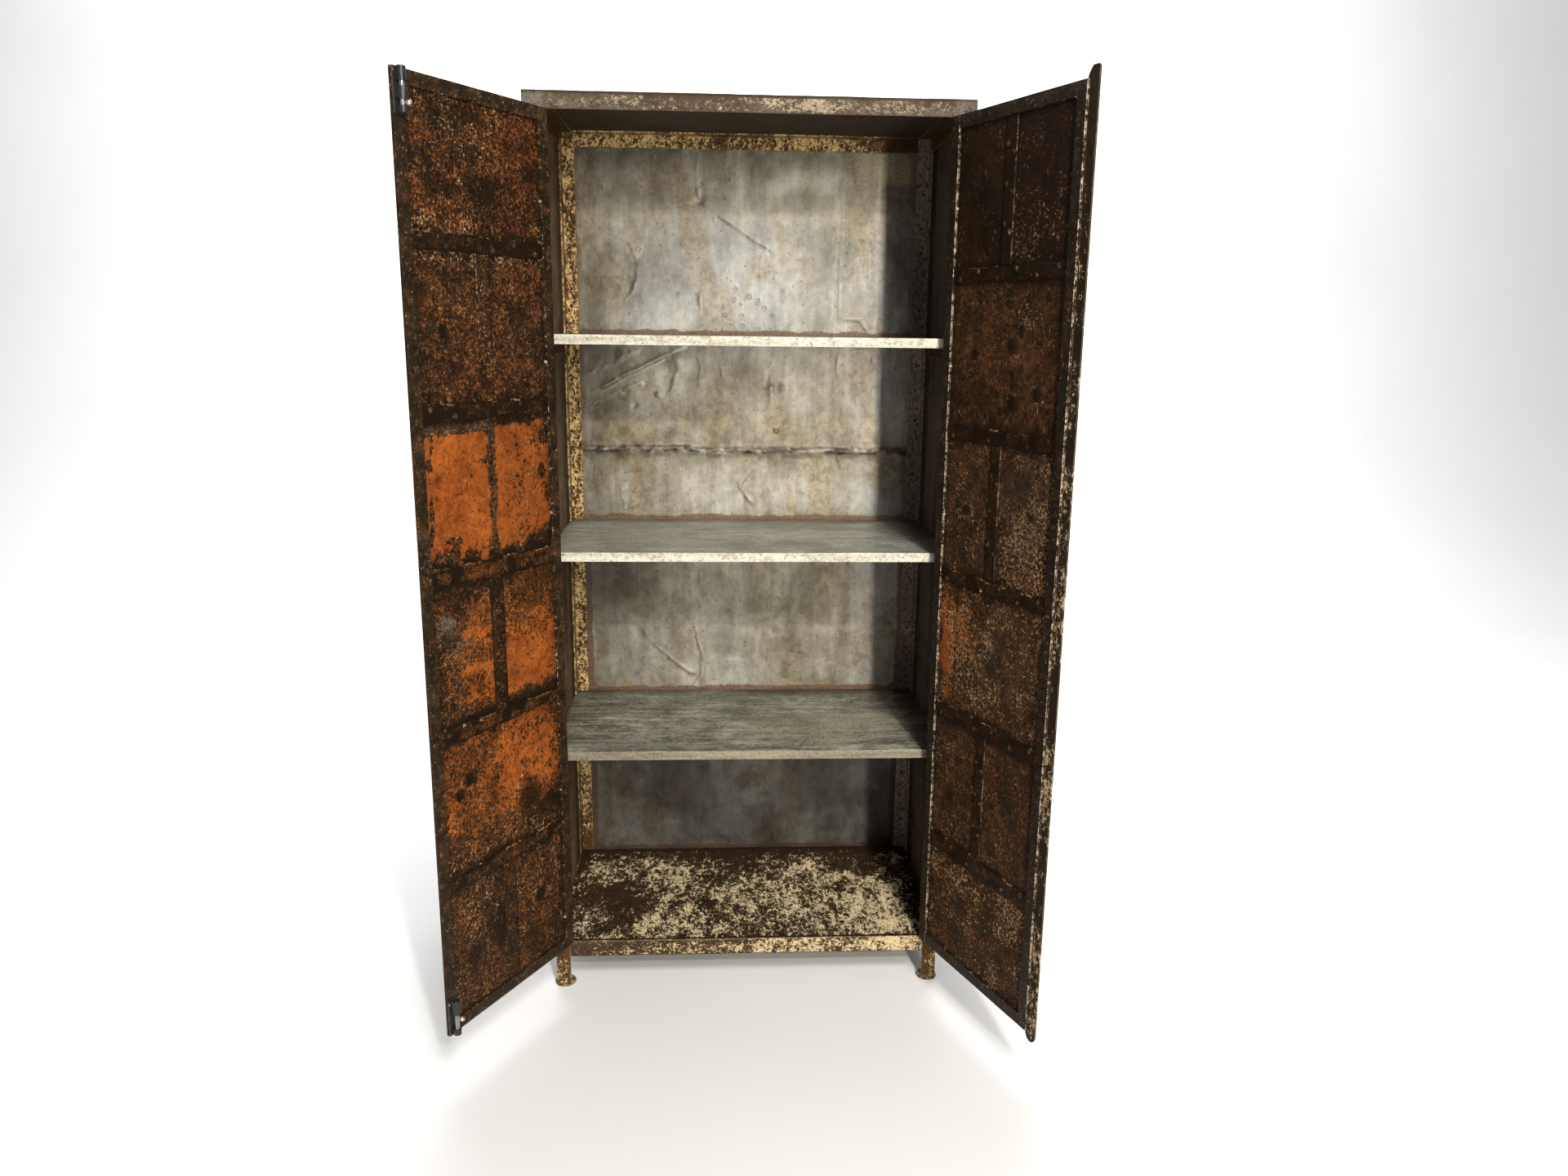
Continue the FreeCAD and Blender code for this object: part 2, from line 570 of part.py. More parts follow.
    # skin: six rows of sheet butted behind the straps
    marks = ["door_head"] + ["%s_strap_%s" % (side, o) for o in order] + ["door_foot"]
    for r in range(6):
        high = marks[r] + (" - fit_gap" if r else "")
        low = marks[r + 1] + (" + fit_gap" if r < 5 else "")
        if r in up_rows:
            halves = (("door_meet", "upright_%s - fit_gap" % side), ("upright_%s + fit_gap" % side, "door_edge"))
        else:
            halves = (("door_meet", "door_edge"),)
        sheets = []
        for n, (x0, x1) in enumerate(halves):
            a, b = across(x0, x1)
            blank = box("%sRow%dBlank%d" % (T, r + 1, n), a, b, "-" + front, in_sheet, low, high)
            sheets.append(cut("%sRow%dSheet%d" % (T, r + 1, n), blank, drills))
        whole = group("%sRow%d" % (T, r + 1), sheets) if len(sheets) > 1 else sheets[0]
        node(whole, "%s_door_sheet_%d" % (side, r + 1), swing)

    # straps over the seams
    bars = []
    for o in order:
        a, b = across("door_meet + bar_width + fit_gap", "door_edge - bar_width - fit_gap")
        z = "%s_strap_%s" % (side, o)
        bar = box(T + "Strap" + o.title() + "Bar", a, b, in_sheet, in_strap,
                  z + " - strap_width/2", z + " + strap_width/2")
        bars.append(cut(T + "Strap" + o.title(), bar, drills))
    node(group(T + "CrossStraps", bars), side + "_door_cross_straps", swing)
    bars = []
    for r in up_rows:
        high = "door_head - bar_width - fit_gap" if r == 0 else marks[r] + " - strap_width/2 - fit_gap"
        low = "door_foot + bar_width + fit_gap" if r == 5 else marks[r + 1] + " + strap_width/2 + fit_gap"
        a, b = across("upright_%s - upright_width_%s/2" % (side, side),
                      "upright_%s + upright_width_%s/2" % (side, side))
        bar = box("%sUpright%dBar" % (T, r + 1), a, b, in_sheet, in_strap, low, high)
        bars.append(cut("%sUpright%d" % (T, r + 1), bar, drills))
    node(group(T + "UprightStraps", bars), side + "_door_upright_straps", swing)
    node(group(T + "HingeLeaves", [cut(b.Name + "Drilled", b, drills) for b in door_leaves[side]]),
         side + "_door_hinge_leaves", swing)
    node(shape_object(T + "Rivets", Part.makeCompound(
        [rivet(a, o, g, t, m) for a, o, g, t, m in rivets])), side + "_door_rivets", swing)

    if side == "left":
        # tower bolts: plate with sleeves, and a rod with a ball knob in each
        axis_y = "%s + bolt_stand" % in_bar
        for tag, foot, head, sleeves, knob, rod in (
                ("upper", "upper_bolt_foot", "door_head",
                 (("upper_bolt_foot", "upper_bolt_foot + 11"),
                  ("upper_bolt_foot + 21", "upper_bolt_foot + 40.5"),
                  ("upper_bolt_foot + 49.5", "door_head")),
                 "upper_knob_level", ("upper_bolt_foot + 2", "door_head + 0.5")),
                ("lower", "door_foot", "lower_bolt_head",
                 (("door_foot + 1", "door_foot + 12.5"),
                  ("lower_bolt_head - 29", "lower_bolt_head")),
                 "lower_knob_level", ("door_foot + 0.2", "lower_bolt_head - 3"))):
            B = tag.title() + "Bolt"
            bits = [box(B + "Plate", "-bolt_across - bolt_plate_width/2", "-bolt_across + bolt_plate_width/2",
                        in_bar, "%s + bolt_plate_gauge" % in_bar, foot, head)]
            for n, (z0, z1) in enumerate(sleeves):
                bits.append(post_cyl(B + "Sleeve%d" % n, "sleeve_radius", "-bolt_across", axis_y, z0, z1))
                bits.append(box(B + "Neck%d" % n, "-bolt_across - 6.4", "-bolt_across + 6.4",
                                "%s + bolt_plate_gauge/2" % in_bar, axis_y, z0, z1))
            bored = cut(B + "Bored", fuse(B + "Blank", bits),
                        post_cyl(B + "Bore", "sleeve_bore", "-bolt_across", axis_y,
                                 foot + " - 5", head + " + 5"))
            if tag == "upper":
                bored = cut(B + "Slotted", bored,
                            box(B + "Slot", "-bolt_across - slot_half", "-bolt_across + slot_half",
                                axis_y, axis_y + " + sleeve_radius + 2",
                                "upper_bolt_foot + 15", "upper_bolt_foot + 45"))
            node(cut(B + "Barrel", bored, drills), tag + "_bolt_barrel", swing)
            ball = doc.addObject("Part::Sphere", B + "Ball")
            ball.setExpression("Radius", X("knob_radius"))
            ball.setExpression("Placement.Base.x", X("-bolt_across"))
            ball.setExpression("Placement.Base.y", X(axis_y + " + knob_reach"))
            ball.setExpression("Placement.Base.z", X(knob))
            bar = fuse(B + "RodWithKnob", [
                post_cyl(B + "Rod", "rod_radius", "-bolt_across", axis_y, rod[0], rod[1]),
                deep_cyl(B + "Stem", "stem_radius", "-bolt_across", knob, axis_y, axis_y + " + knob_reach"),
                ball])
            node(bar, tag + "_bolt_rod", swing)
        # staple for the hasp: plate with a half-round loop
        y_plate = -face - D("hasp_gauge")
        plate = box("StaplePlate", "-58", "-26", "-%s - hasp_gauge" % front, "-" + front,
                    "hasp_level - 20", "hasp_level + 20")
        loop = []
        for dz in (-D("staple_half"), D("staple_half")):
            loop.append(Part.makeCylinder(D("staple_rod"), D("staple_shank") + y_plate + 1.0,
                                          V(-D("hasp_slot_across"), y_plate + 1.0, hasp_z + dz), V(0, -1, 0)))
        disc = Part.Face(Part.Wire(Part.makeCircle(
            D("staple_rod"), V(-D("hasp_slot_across"), -D("staple_shank"), hasp_z + D("staple_half")), V(0, 1, 0))))
        bend = disc.revolve(V(-D("hasp_slot_across"), -D("staple_shank"), hasp_z), V(1, 0, 0), 180)
        if bend.BoundBox.YMin > -D("staple_shank") - 1:
            bend = disc.revolve(V(-D("hasp_slot_across"), -D("staple_shank"), hasp_z), V(1, 0, 0), -180)
        eye = shape_object("StapleLoop", loop[0].fuse([bend, loop[1]]))
        node(cut("HaspStaple", fuse("StapleBlank", [plate, eye]), drills), "hasp_staple", swing)
    else:
        # cover strip over the meeting edges, rounded at its foot
        strip = box("CoverBlank", "-cover_outer", "cover_inner",
                    "-%s - cover_gauge" % front, "-" + front,
                    "door_foot - cover_over", "door_head + cover_over")
        doc.recompute()
        picks = []
        for i, e in enumerate(strip.Shape.Edges, start=1):
            p, q = e.Vertexes[0].Point, e.Vertexes[1].Point
            if abs(p.x - q.x) < 1e-6 and abs(p.z - q.z) < 1e-6:
                at_foot, at_outer = p.z < 500, p.x < 0
                r = D("cover_round") if at_foot else (4.0 if at_outer else 9.0)
                picks.append((i, r, r))
        ends = doc.addObject("Part::Fillet", "CoverRounded")
        ends.Base = strip
        ends.Edges = picks
        hole = deep_cyl("CoverHole", "cover_hole_radius", "-cover_hole_across", "cover_hole_level",
                        "-250", "-220")
        node(cut("CoverStrip", cut("CoverPierced", ends, hole), drills), "right_door_cover_strip", swing)

        # hasp: plate on the leaf, hinged tongue with a slot
        bits = [box("HaspPlate", "hasp_across + hasp_knuckle + 0.6", "hasp_across + 34",
                    "-%s - hasp_gauge" % front, "-" + front,
                    "hasp_level - hasp_half", "hasp_level + hasp_half")]
        for n, z0, z1 in ((0, "hasp_level - hasp_half", "hasp_level - 6.2"),
                          (1, "hasp_level + 6.2", "hasp_level + hasp_half")):
            bits.append(box("HaspTab%d" % n, "hasp_across", "hasp_across + hasp_knuckle + 0.6",
                            "-%s - hasp_gauge" % front, "-%s - 0.3" % front, z0, z1))
            bits.append(post_cyl("HaspKnuckle%d" % n, "hasp_knuckle", "hasp_across", "-hasp_depth", z0, z1))
        bore = post_cyl("HaspBore", "hasp_pin_radius + pin_play", "hasp_across", "-hasp_depth",
                        "hasp_level - 40", "hasp_level + 40")
        node(cut("HaspBase", cut("HaspBaseBored", fuse("HaspBaseBlank", bits), bore), drills),
             "hasp_base", swing)
        node(fuse("HaspPin", [
            post_cyl("HaspPinShank", "hasp_pin_radius", "hasp_across", "-hasp_depth",
                     "hasp_level - hasp_half - 1", "hasp_level + hasp_half + 1"),
            post_cyl("HaspPinHead", "hasp_knuckle - 0.8", "hasp_across", "-hasp_depth",
                     "hasp_level + hasp_half + 0.2", "hasp_level + hasp_half + 1.8")]),
             "hasp_pin", swing)
        tongue = fuse("HaspTongueBlank", [
            box("HaspTongue", "-hasp_tongue", "hasp_across - hasp_knuckle - 0.6",
                "-hasp_depth - hasp_knuckle", "-hasp_depth - hasp_knuckle + hasp_gauge",
                "hasp_level - hasp_half + 2", "hasp_level + hasp_half - 2"),
            box("HaspTongueTab", "hasp_across - hasp_knuckle - 0.6", "hasp_across",
                "-hasp_depth - hasp_knuckle", "-hasp_depth - hasp_knuckle + hasp_gauge",
                "hasp_level - 5.8", "hasp_level + 5.8"),
            post_cyl("HaspTongueKnuckle", "hasp_knuckle", "hasp_across", "-hasp_depth",
                     "hasp_level - 5.8", "hasp_level + 5.8")])
        tongue = cut("HaspTongueBored", tongue, bore)
        tongue = cut("HaspTongueSlotted", tongue,
                     box("HaspSlot", "-hasp_slot_across - hasp_slot_half", "-hasp_slot_across + hasp_slot_half",
                         "-hasp_depth - hasp_knuckle - 3", "-hasp_depth - hasp_knuckle + hasp_gauge + 3",
                         "hasp_level - hasp_slot_tall", "hasp_level + hasp_slot_tall"))
        fold = FreeCAD.Placement(V(0, 0, 0), FreeCAD.Rotation(V(0, 0, 1), D("hasp_fold")),
                                 V(D("hasp_across"), -D("hasp_depth"), 0))
        node(tongue, "hasp_tongue", swing.multiply(fold))

# --------------------------------------------------------------------- write
doc.recompute()
bad = [o.Name for o in doc.Objects if "Invalid" in o.State or "Error" in o.State]
if bad:
    raise RuntimeError("failed objects: %s" % bad)
for obj, label in nodes:
    if obj.Shape.isNull() or not obj.Shape.isValid() or not obj.Shape.Solids:
        raise RuntimeError("bad shape: " + label)
os.makedirs("parts", exist_ok=True)
for obj, label in nodes:
    obj.Shape.exportStep("parts/%s.step" % label)
    print("%-28s solids %3d  volume %10.0f mm3" % (label, len(obj.Shape.Solids), obj.Shape.Volume))
print(len(nodes), "nodes")
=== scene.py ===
import bpy
import math
import numpy as np
from mathutils import Matrix, Vector


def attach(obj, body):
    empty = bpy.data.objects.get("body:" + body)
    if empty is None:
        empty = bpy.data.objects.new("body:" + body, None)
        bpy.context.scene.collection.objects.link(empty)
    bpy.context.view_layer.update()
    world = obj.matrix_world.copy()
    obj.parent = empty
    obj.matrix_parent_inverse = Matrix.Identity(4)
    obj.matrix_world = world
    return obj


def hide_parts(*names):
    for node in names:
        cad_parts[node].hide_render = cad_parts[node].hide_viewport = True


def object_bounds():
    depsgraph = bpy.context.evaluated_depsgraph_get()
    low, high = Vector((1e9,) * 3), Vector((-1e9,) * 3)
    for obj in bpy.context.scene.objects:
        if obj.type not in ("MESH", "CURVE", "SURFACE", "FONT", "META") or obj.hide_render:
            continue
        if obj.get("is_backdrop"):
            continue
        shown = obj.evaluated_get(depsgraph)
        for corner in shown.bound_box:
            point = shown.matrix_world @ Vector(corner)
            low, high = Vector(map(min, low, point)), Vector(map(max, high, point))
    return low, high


# Old two-door riveted iron cabinet, doors standing open.  Every piece is drawn
# in millimetres; door pieces are drawn with the door shut and then swung to
# the stored pose together with their own texture coordinates, so the wear
# stays on the metal when the doors move.

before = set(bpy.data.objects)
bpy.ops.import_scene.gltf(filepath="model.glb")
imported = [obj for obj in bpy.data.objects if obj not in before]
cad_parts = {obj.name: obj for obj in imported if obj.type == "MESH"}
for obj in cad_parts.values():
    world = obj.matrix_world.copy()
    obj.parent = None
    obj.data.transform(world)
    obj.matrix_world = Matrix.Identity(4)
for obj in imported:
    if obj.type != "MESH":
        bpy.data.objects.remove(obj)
cad_low, cad_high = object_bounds()

# --------------------------------------------------------------------- noise


def cell(ix, iy, seed):
    h = (ix.astype(np.int64) * 374761393 + iy.astype(np.int64) * 668265263 + seed * 974634539) & 0xFFFFFFFF
    h = ((h ^ (h >> 13)) * 1274126177) & 0xFFFFFFFF
    h = h ^ (h >> 16)
    return (h & 0xFFFFFF) / float(0xFFFFFF)


def vnoise(x, y, seed):
    x, y = np.broadcast_arrays(np.asarray(x, float), np.asarray(y, float))
    xi, yi = np.floor(x), np.floor(y)
    fx, fy = x - xi, y - yi
    u = fx * fx * fx * (fx * (fx * 6 - 15) + 10)
    v = fy * fy * fy * (fy * (fy * 6 - 15) + 10)
    a, b = cell(xi, yi, seed), cell(xi + 1, yi, seed)
    c, d = cell(xi, yi + 1, seed), cell(xi + 1, yi + 1, seed)
    return a + (b - a) * u + (c - a) * v + (a - b - c + d) * u * v


def fbm(x, y, size, seed, octaves=4, gain=0.5):
    """Fractal noise from 0 to 1; size is its largest feature, in mm."""
    x, y = np.asarray(x, float) / size, np.asarray(y, float) / size
    total, amp, norm = 0.0, 1.0, 0.0
    for k in range(octaves):
        total = total + amp * vnoise(x * 2.03 ** k + 17.3 * k, y * 2.03 ** k - 9.1 * k, seed + 31 * k)
        norm += amp
        amp *= gain
    return total / norm


def step(lo, hi, x):
    t = np.clip((np.asarray(x, float) - lo) / (hi - lo), 0, 1)
    return t * t * (3 - 2 * t)


def blob(u, v, cu, cv, ru, rv, seed, rag=0.5, soft=0.35):
    """Ragged patch, 1 inside, 0 outside."""
    d = np.sqrt(((u - cu) / ru) ** 2 + ((v - cv) / rv) ** 2)
    d = d + rag * (fbm(u, v, 0.7 * min(ru, rv) + 6, seed) - 0.5) * 2
    return 1 - step(1 - soft, 1 + soft, d)


def line_dist(u, v, pts):
    """Distance to a polyline, and the side of it (+ to the left of its run)."""
    u, v = u + 5.0 * (fbm(u, v, 26, 66, 3) - 0.5), v + 5.0 * (fbm(u, v, 26, 67, 3) - 0.5)
    best = np.full(np.shape(u), 1e9)
    side = np.zeros(np.shape(u))
    for (x0, y0), (x1, y1) in zip(pts[:-1], pts[1:]):
        dx, dy = x1 - x0, y1 - y0
        t = np.clip(((u - x0) * dx + (v - y0) * dy) / (dx * dx + dy * dy), 0, 1)
        ex, ey = u - (x0 + t * dx), v - (y0 + t * dy)
        d = np.hypot(ex, ey)
        s = np.sign(dx * ey - dy * ex)
        near = d < best
        best = np.where(near, d, best)
        side = np.where(near, s, side)
    return best, side


# -------------------------------------------------------------- mesh building


def turn_about(cx, cy, degrees):
    a = math.radians(degrees)
    r = np.array([[math.cos(a), -math.sin(a), 0], [math.sin(a), math.cos(a), 0], [0, 0, 1.0]])
    c = np.array([cx, cy, 0.0])
    return r, c - r @ c


SWING = {"left": turn_about(-396, -237, -120.0), "right": turn_about(396, -237, 112.8), None: None}


class Piece:
    def __init__(self, swing=None):
        self.v, self.masks, self.loops, self.sizes, self.n = [], [], [], [], 0
        self.swing = SWING[swing]

    def put(self, verts, faces, flip=False, **masks):
        verts = np.asarray(verts, float)
        self.v.append(verts)
        self.masks.append((len(verts), masks))
        for f in faces:
            f = np.asarray(f, np.int64)
            if not len(f):
                continue
            if flip:
                f = f[:, ::-1]
            self.loops.append((f + self.n).ravel())
            self.sizes.append(np.full(len(f), f.shape[1], np.int64))
        self.n += len(verts)

    def done(self, name, material, body, nodes, slot, angle=38):
        v = np.concatenate(self.v)
        drawn = v / 1000.0
        if self.swing is not None:
            v = v @ self.swing[0].T + self.swing[1]
        v = v / 1000.0
        me = bpy.data.meshes.new(name)
        loops, sizes = np.concatenate(self.loops), np.concatenate(self.sizes)
        me.vertices.add(len(v))
        me.vertices.foreach_set("co", v.astype(np.float32).ravel())
        me.loops.add(len(loops))
        me.loops.foreach_set("vertex_index", loops.astype(np.int32))
        me.polygons.add(len(sizes))
        me.polygons.foreach_set("loop_start", (np.cumsum(sizes) - sizes).astype(np.int32))
        me.polygons.foreach_set("use_smooth", np.ones(len(sizes), bool))
        me.update(calc_edges=True)
        me.validate()
        me.set_sharp_from_angle(angle=math.radians(angle))
        me.attributes.new("tc", "FLOAT_VECTOR", "POINT").data.foreach_set("vector", drawn.astype(np.float32).ravel())
        for key in sorted({k for _, m in self.masks for k in m}):
            col = np.concatenate([np.broadcast_to(np.asarray(m.get(key, 0.0), float).ravel(), (n,)) if
                                  np.ndim(m.get(key, 0.0)) == 0 or np.size(m.get(key, 0.0)) == n else None
                                  for n, m in self.masks])
            me.attributes.new(key, "FLOAT", "POINT").data.foreach_set("value", col.astype(np.float32))
        me.materials.append(material)
        ob = bpy.data.objects.new(name, me)
        bpy.context.scene.collection.objects.link(ob)
        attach(ob, body)
        if nodes:
            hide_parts(*([nodes] if isinstance(nodes, str) else nodes))
        return ob


def odd(ax):
    return ax in ((0, 2, 1), (2, 1, 0), (1, 0, 2))


def lay(ax, a, b, c):
    out = np.zeros(np.shape(a) + (3,))
    out[..., ax[0]], out[..., ax[1]], out[..., ax[2]] = a, b, c
    return out.reshape(-1, 3)


def plate(p, ax, us, vs, n_low, n_high, bend=None, low=None, high=None, trim=None):
    """Thin sheet over a grid: both faces follow the same dents.  bend(U, V)
    moves it along n; low and high give the masks of its two faces; trim may
    move the grid in its own plane."""
    U, W = np.meshgrid(np.asarray(us, float), np.asarray(vs, float), indexing="ij")
    d = bend(U, W) if bend else np.zeros(U.shape)
    low_m = low(U, W) if low else {}
    high_m = high(U, W) if high else {}
    if trim:
        U, W = trim(U, W)
    nu, nv = U.shape
    n = nu * nv
    idx = np.arange(n).reshape(nu, nv)
    quads = np.stack([idx[:-1, :-1], idx[1:, :-1], idx[1:, 1:], idx[:-1, 1:]], -1).reshape(-1, 4)
    ring = np.concatenate([idx[:-1, 0], idx[-1, :-1], idx[:0:-1, -1], idx[0, :0:-1]])
    nxt = np.roll(ring, -1)
    rim = np.stack([ring + n, nxt + n, nxt, ring], -1)
    verts = np.concatenate([lay(ax, U, W, n_high + d), lay(ax, U, W, n_low + d)])
    masks = {}
    for k in set(low_m) | set(high_m):
        h = np.broadcast_to(np.asarray(high_m.get(k, 0.0), float), U.shape).ravel()
        l = np.broadcast_to(np.asarray(low_m.get(k, 0.0), float), U.shape).ravel()
        masks[k] = np.concatenate([h, l])
    p.put(verts, [quads, quads[:, ::-1] + n, rim], flip=odd(ax), **masks)


def round_section(pts, radii, seg=2, guard=1.6):
    """Rounds a polygon's corners.  Returns points, and 1 on a rounded outer edge."""
    pts = [np.array(q, float) for q in pts]
    area = sum(a[0] * b[1] - a[1] * b[0] for a, b in zip(pts, pts[1:] + pts[:1]))
    radii = list(radii) if hasattr(radii, "__len__") else [radii] * len(pts)
    if area < 0:
        pts, radii = pts[::-1], radii[::-1]
    out, edge = [], []
    k = len(pts)
    for i in range(k):
        q, a, b = pts[i], pts[i - 1], pts[(i + 1) % k]
        da, db = a - q, b - q
        la, lb = np.linalg.norm(da), np.linalg.norm(db)
        da, db = da / la, db / lb
        r = radii[i]
        convex = (-da[0] * db[1] + da[1] * db[0]) > 0
        half = 0.5 * math.acos(max(-1, min(1, float(da @ db))))
        t = r / math.tan(half)
        mid = q + (da + db) / np.linalg.norm(da + db) * r / math.sin(half)
        ga, gb = min(t + guard, 0.42 * la), min(t + guard, 0.42 * lb)
        if ga > t + 0.05:
            out.append(q + da * ga)
            edge.append(0.0)
        s, e = q + da * t - mid, q + db * t - mid
        for j in range(seg + 1):
            w = j / seg
            d = s * (1 - w) + e * w
            out.append(mid + d / np.linalg.norm(d) * r)
            edge.append(1.0 if convex else 0.0)
        if gb > t + 0.05:
            out.append(q + db * gb)
            edge.append(0.0)
    return np.array(out), np.array(edge)


def sweep(p, axis, stations, section, edge, **masks):
    """section(i) gives (K, 2) points over the next two axes at station i."""
    ax = (axis, (axis + 1) % 3, (axis + 2) % 3)
    rings = np.stack([section(i) for i in range(len(stations))])
    s, k = rings.shape[:2]
    u = np.repeat(np.asarray(stations, float)[:, None], k, 1)
    verts = lay(ax, u, rings[..., 0], rings[..., 1])
    idx = np.arange(s * k).reshape(s, k)
    nx = np.roll(idx, -1, 1)
    quads = np.stack([idx[:-1], nx[:-1], nx[1:], idx[1:]], -1).reshape(-1, 4)
    caps = [idx[0][::-1][None, :], idx[-1][None, :]]
    m = {key: (val(verts) if callable(val) else val) for key, val in masks.items()}
    e = np.tile(edge, s).reshape(s, k)
    e[0], e[-1] = 1.0, 1.0
    p.put(verts, [quads] + caps, ed=e.ravel(), **m)


def stations_between(a, b, pitch, r):
    """Stations along a bar, closer at its rounded ends."""
    n = max(2, int(round((b - a) / pitch)) + 1)
    body = np.linspace(a + r, b - r, n)
    body[0], body[-1] = a + r, b - r
    return np.concatenate([[a, a + 0.3 * r], body, [b - 0.3 * r, b]])


def bar(p, axis, low, high, r=0.8, pitch=14.0, wob=(0, 0, 0, 0), seed=1, shape=None, size=90.0, **masks):
    """Flat bar with rounded, slightly uneven edges along one axis.  wob gives
    the unevenness of its four sides; shape(u) adds given offsets to them."""
    a, b = (axis + 1) % 3, (axis + 2) % 3
    st = stations_between(low[axis], high[axis], pitch, r)
    base, edge = round_section([(0, 0), (100, 0), (100, 100), (0, 100)], 10, guard=20)
    wa, wb = high[a] - low[a], high[b] - low[b]
    rr = min(r, 0.45 * wa, 0.45 * wb)
    guard = [min(0.9, 0.15 * wa), min(0.9, 0.15 * wb)]

    def warp(t, width, g):
        # template distances 0..30 from either end become r and the guard
        t = np.asarray(t, float)
        near = np.minimum(t, 100 - t)
        d = np.where(near <= 10, near / 10 * rr, rr + (near - 10) / 20 * g)
        return np.where(t <= 50, d, width - d)

    la, lb = warp(base[:, 0], wa, guard[0]), warp(base[:, 1], wb, guard[1])
    ua, ub = la / wa, lb / wb
    st = np.asarray(st)
    noise = [w * 2 * (fbm(st, np.full(st.shape, 7.0 * i), size, seed + 101 * i, 3) - 0.5) for i, w in enumerate(wob)]
    extra = shape(st) if shape else (0, 0, 0, 0)
    noise = [n + x for n, x in zip(noise, extra)]
    inset = np.zeros(len(st))
    inset[0] = inset[-1] = rr
    inset[1] = inset[-2] = 0.29 * rr

    def section(i):
        lo_a, hi_a = low[a] + noise[0][i] + inset[i], high[a] + noise[1][i] - inset[i]
        lo_b, hi_b = low[b] + noise[2][i] + inset[i], high[b] + noise[3][i] - inset[i]
        return np.stack([lo_a + ua * (hi_a - lo_a), lo_b + ub * (hi_b - lo_b)], -1)

    sweep(p, axis, st, section, edge, **masks)


def angle_bar(p, axis, low, high, corner, legs, wall, pitch=20.0, rough=0.35, seed=1, radii=(2.2, 0.9, 1.4, 3.0, 1.4, 0.9), **masks):
    """Rolled angle along an axis: corner is its outside corner over the next
    two axes, legs are signed."""
    (ca, cb), (fa, fb) = corner, legs
    sa, sb = math.copysign(1, fa), math.copysign(1, fb)
    pts = [(ca, cb), (ca + fa, cb), (ca + fa, cb + sb * wall), (ca + sa * wall, cb + sb * wall),
           (ca + sa * wall, cb + fb), (ca, cb + fb)]
    base, edge = round_section(pts, radii)
    n = max(2, int((high - low) / pitch))
    st = np.linspace(low, high, n)
    wa = rough * 2 * (fbm(st[:, None], base[None, :, 0] * 0.6, 120, seed, 3) - 0.5)
    wb = rough * 2 * (fbm(st[:, None], base[None, :, 1] * 0.6, 120, seed + 5, 3) - 0.5)

    def section(i):
        return base + np.stack([wa[i], wb[i]], -1)

    sweep(p, axis, st, section, edge, **masks)


def basis(d):
    d = np.array(d, float)
    d = d / np.linalg.norm(d)
    a = np.array([0, 0, 1.0]) if abs(d[2]) < 0.9 else np.array([1.0, 0, 0])
    e = np.cross(a, d)
    e /= np.linalg.norm(e)
    return e, np.cross(d, e), d


def lathe(p, centre, direction, prof, seg=20, uneven=0.0, seed=1, **masks):
    """Turned solid: prof is (radius, height) from its foot to its tip, both on
    the axis."""
    e, f, d = basis(direction)
    t = np.arange(seg) * 2 * math.pi / seg
    c = np.array(centre, float)
    body = [q for q in prof if q[0] > 1e-6]
    rings = []
    for r, h in body:
        rr = r * (1 + uneven * 2 * (fbm(np.cos(t) * 40 + seed * 13, np.sin(t) * 40 + h, 40, seed, 2) - 0.5))
        rings.append(c + np.outer(rr * np.cos(t), e) + np.outer(rr * np.sin(t), f) + h * d)
    rings = np.stack(rings)
    s = len(rings)
    verts = np.concatenate([rings.reshape(-1, 3), [c + prof[0][1] * d], [c + prof[-1][1] * d]])
    idx = np.arange(s * seg).reshape(s, seg)
    nx = np.roll(idx, -1, 1)
    quads = np.stack([idx[:-1], nx[:-1], nx[1:], idx[1:]], -1).reshape(-1, 4)
    foot, tip = s * seg, s * seg + 1
    fan0 = np.stack([np.full(seg, foot), nx[0], idx[0]], -1)
    fan1 = np.stack([np.full(seg, tip), idx[-1], nx[-1]], -1)
    p.put(verts, [quads, fan0, fan1], **masks)


def tube(p, centre, direction, prof, seg=24, start=0.0, end=360.0, **masks):
    """Turned ring: prof is a closed loop of (radius, height), drawn with the
    metal on its left; start and end leave a gap when they don't meet."""
    e, f, d = basis(direction)
    whole = end - start > 359.9
    t = np.radians(start + np.arange(seg if whole else seg + 1) * (end - start) / seg)
    c = np.array(centre, float)
    r = np.array([q[0] for q in prof])
    h = np.array([q[1] for q in prof])
    rings = (c + (np.cos(t)[:, None, None] * e + np.sin(t)[:, None, None] * f) * r[None, :, None]
             + h[None, :, None] * d)
    s, k = rings.shape[:2]
    idx = np.arange(s * k).reshape(s, k)
    nk = np.roll(idx, -1, 1)
    if whole:
        a, an = idx, nk
        b, bn = np.roll(idx, -1, 0), np.roll(nk, -1, 0)
    else:
        a, an, b, bn = idx[:-1], nk[:-1], idx[1:], nk[1:]
    quads = np.stack([a, b, bn, an], -1).reshape(-1, 4)
    caps = [] if whole else [idx[0][None, :], idx[-1][::-1][None, :]]
    p.put(rings.reshape(-1, 3), [quads] + caps, **masks)


def ring_loop(ro, ri, h0, h1, c=0.5):
    return [(ri, h0), (ro - c, h0), (ro, h0 + c), (ro, h1 - c), (ro - c, h1), (ri, h1)]


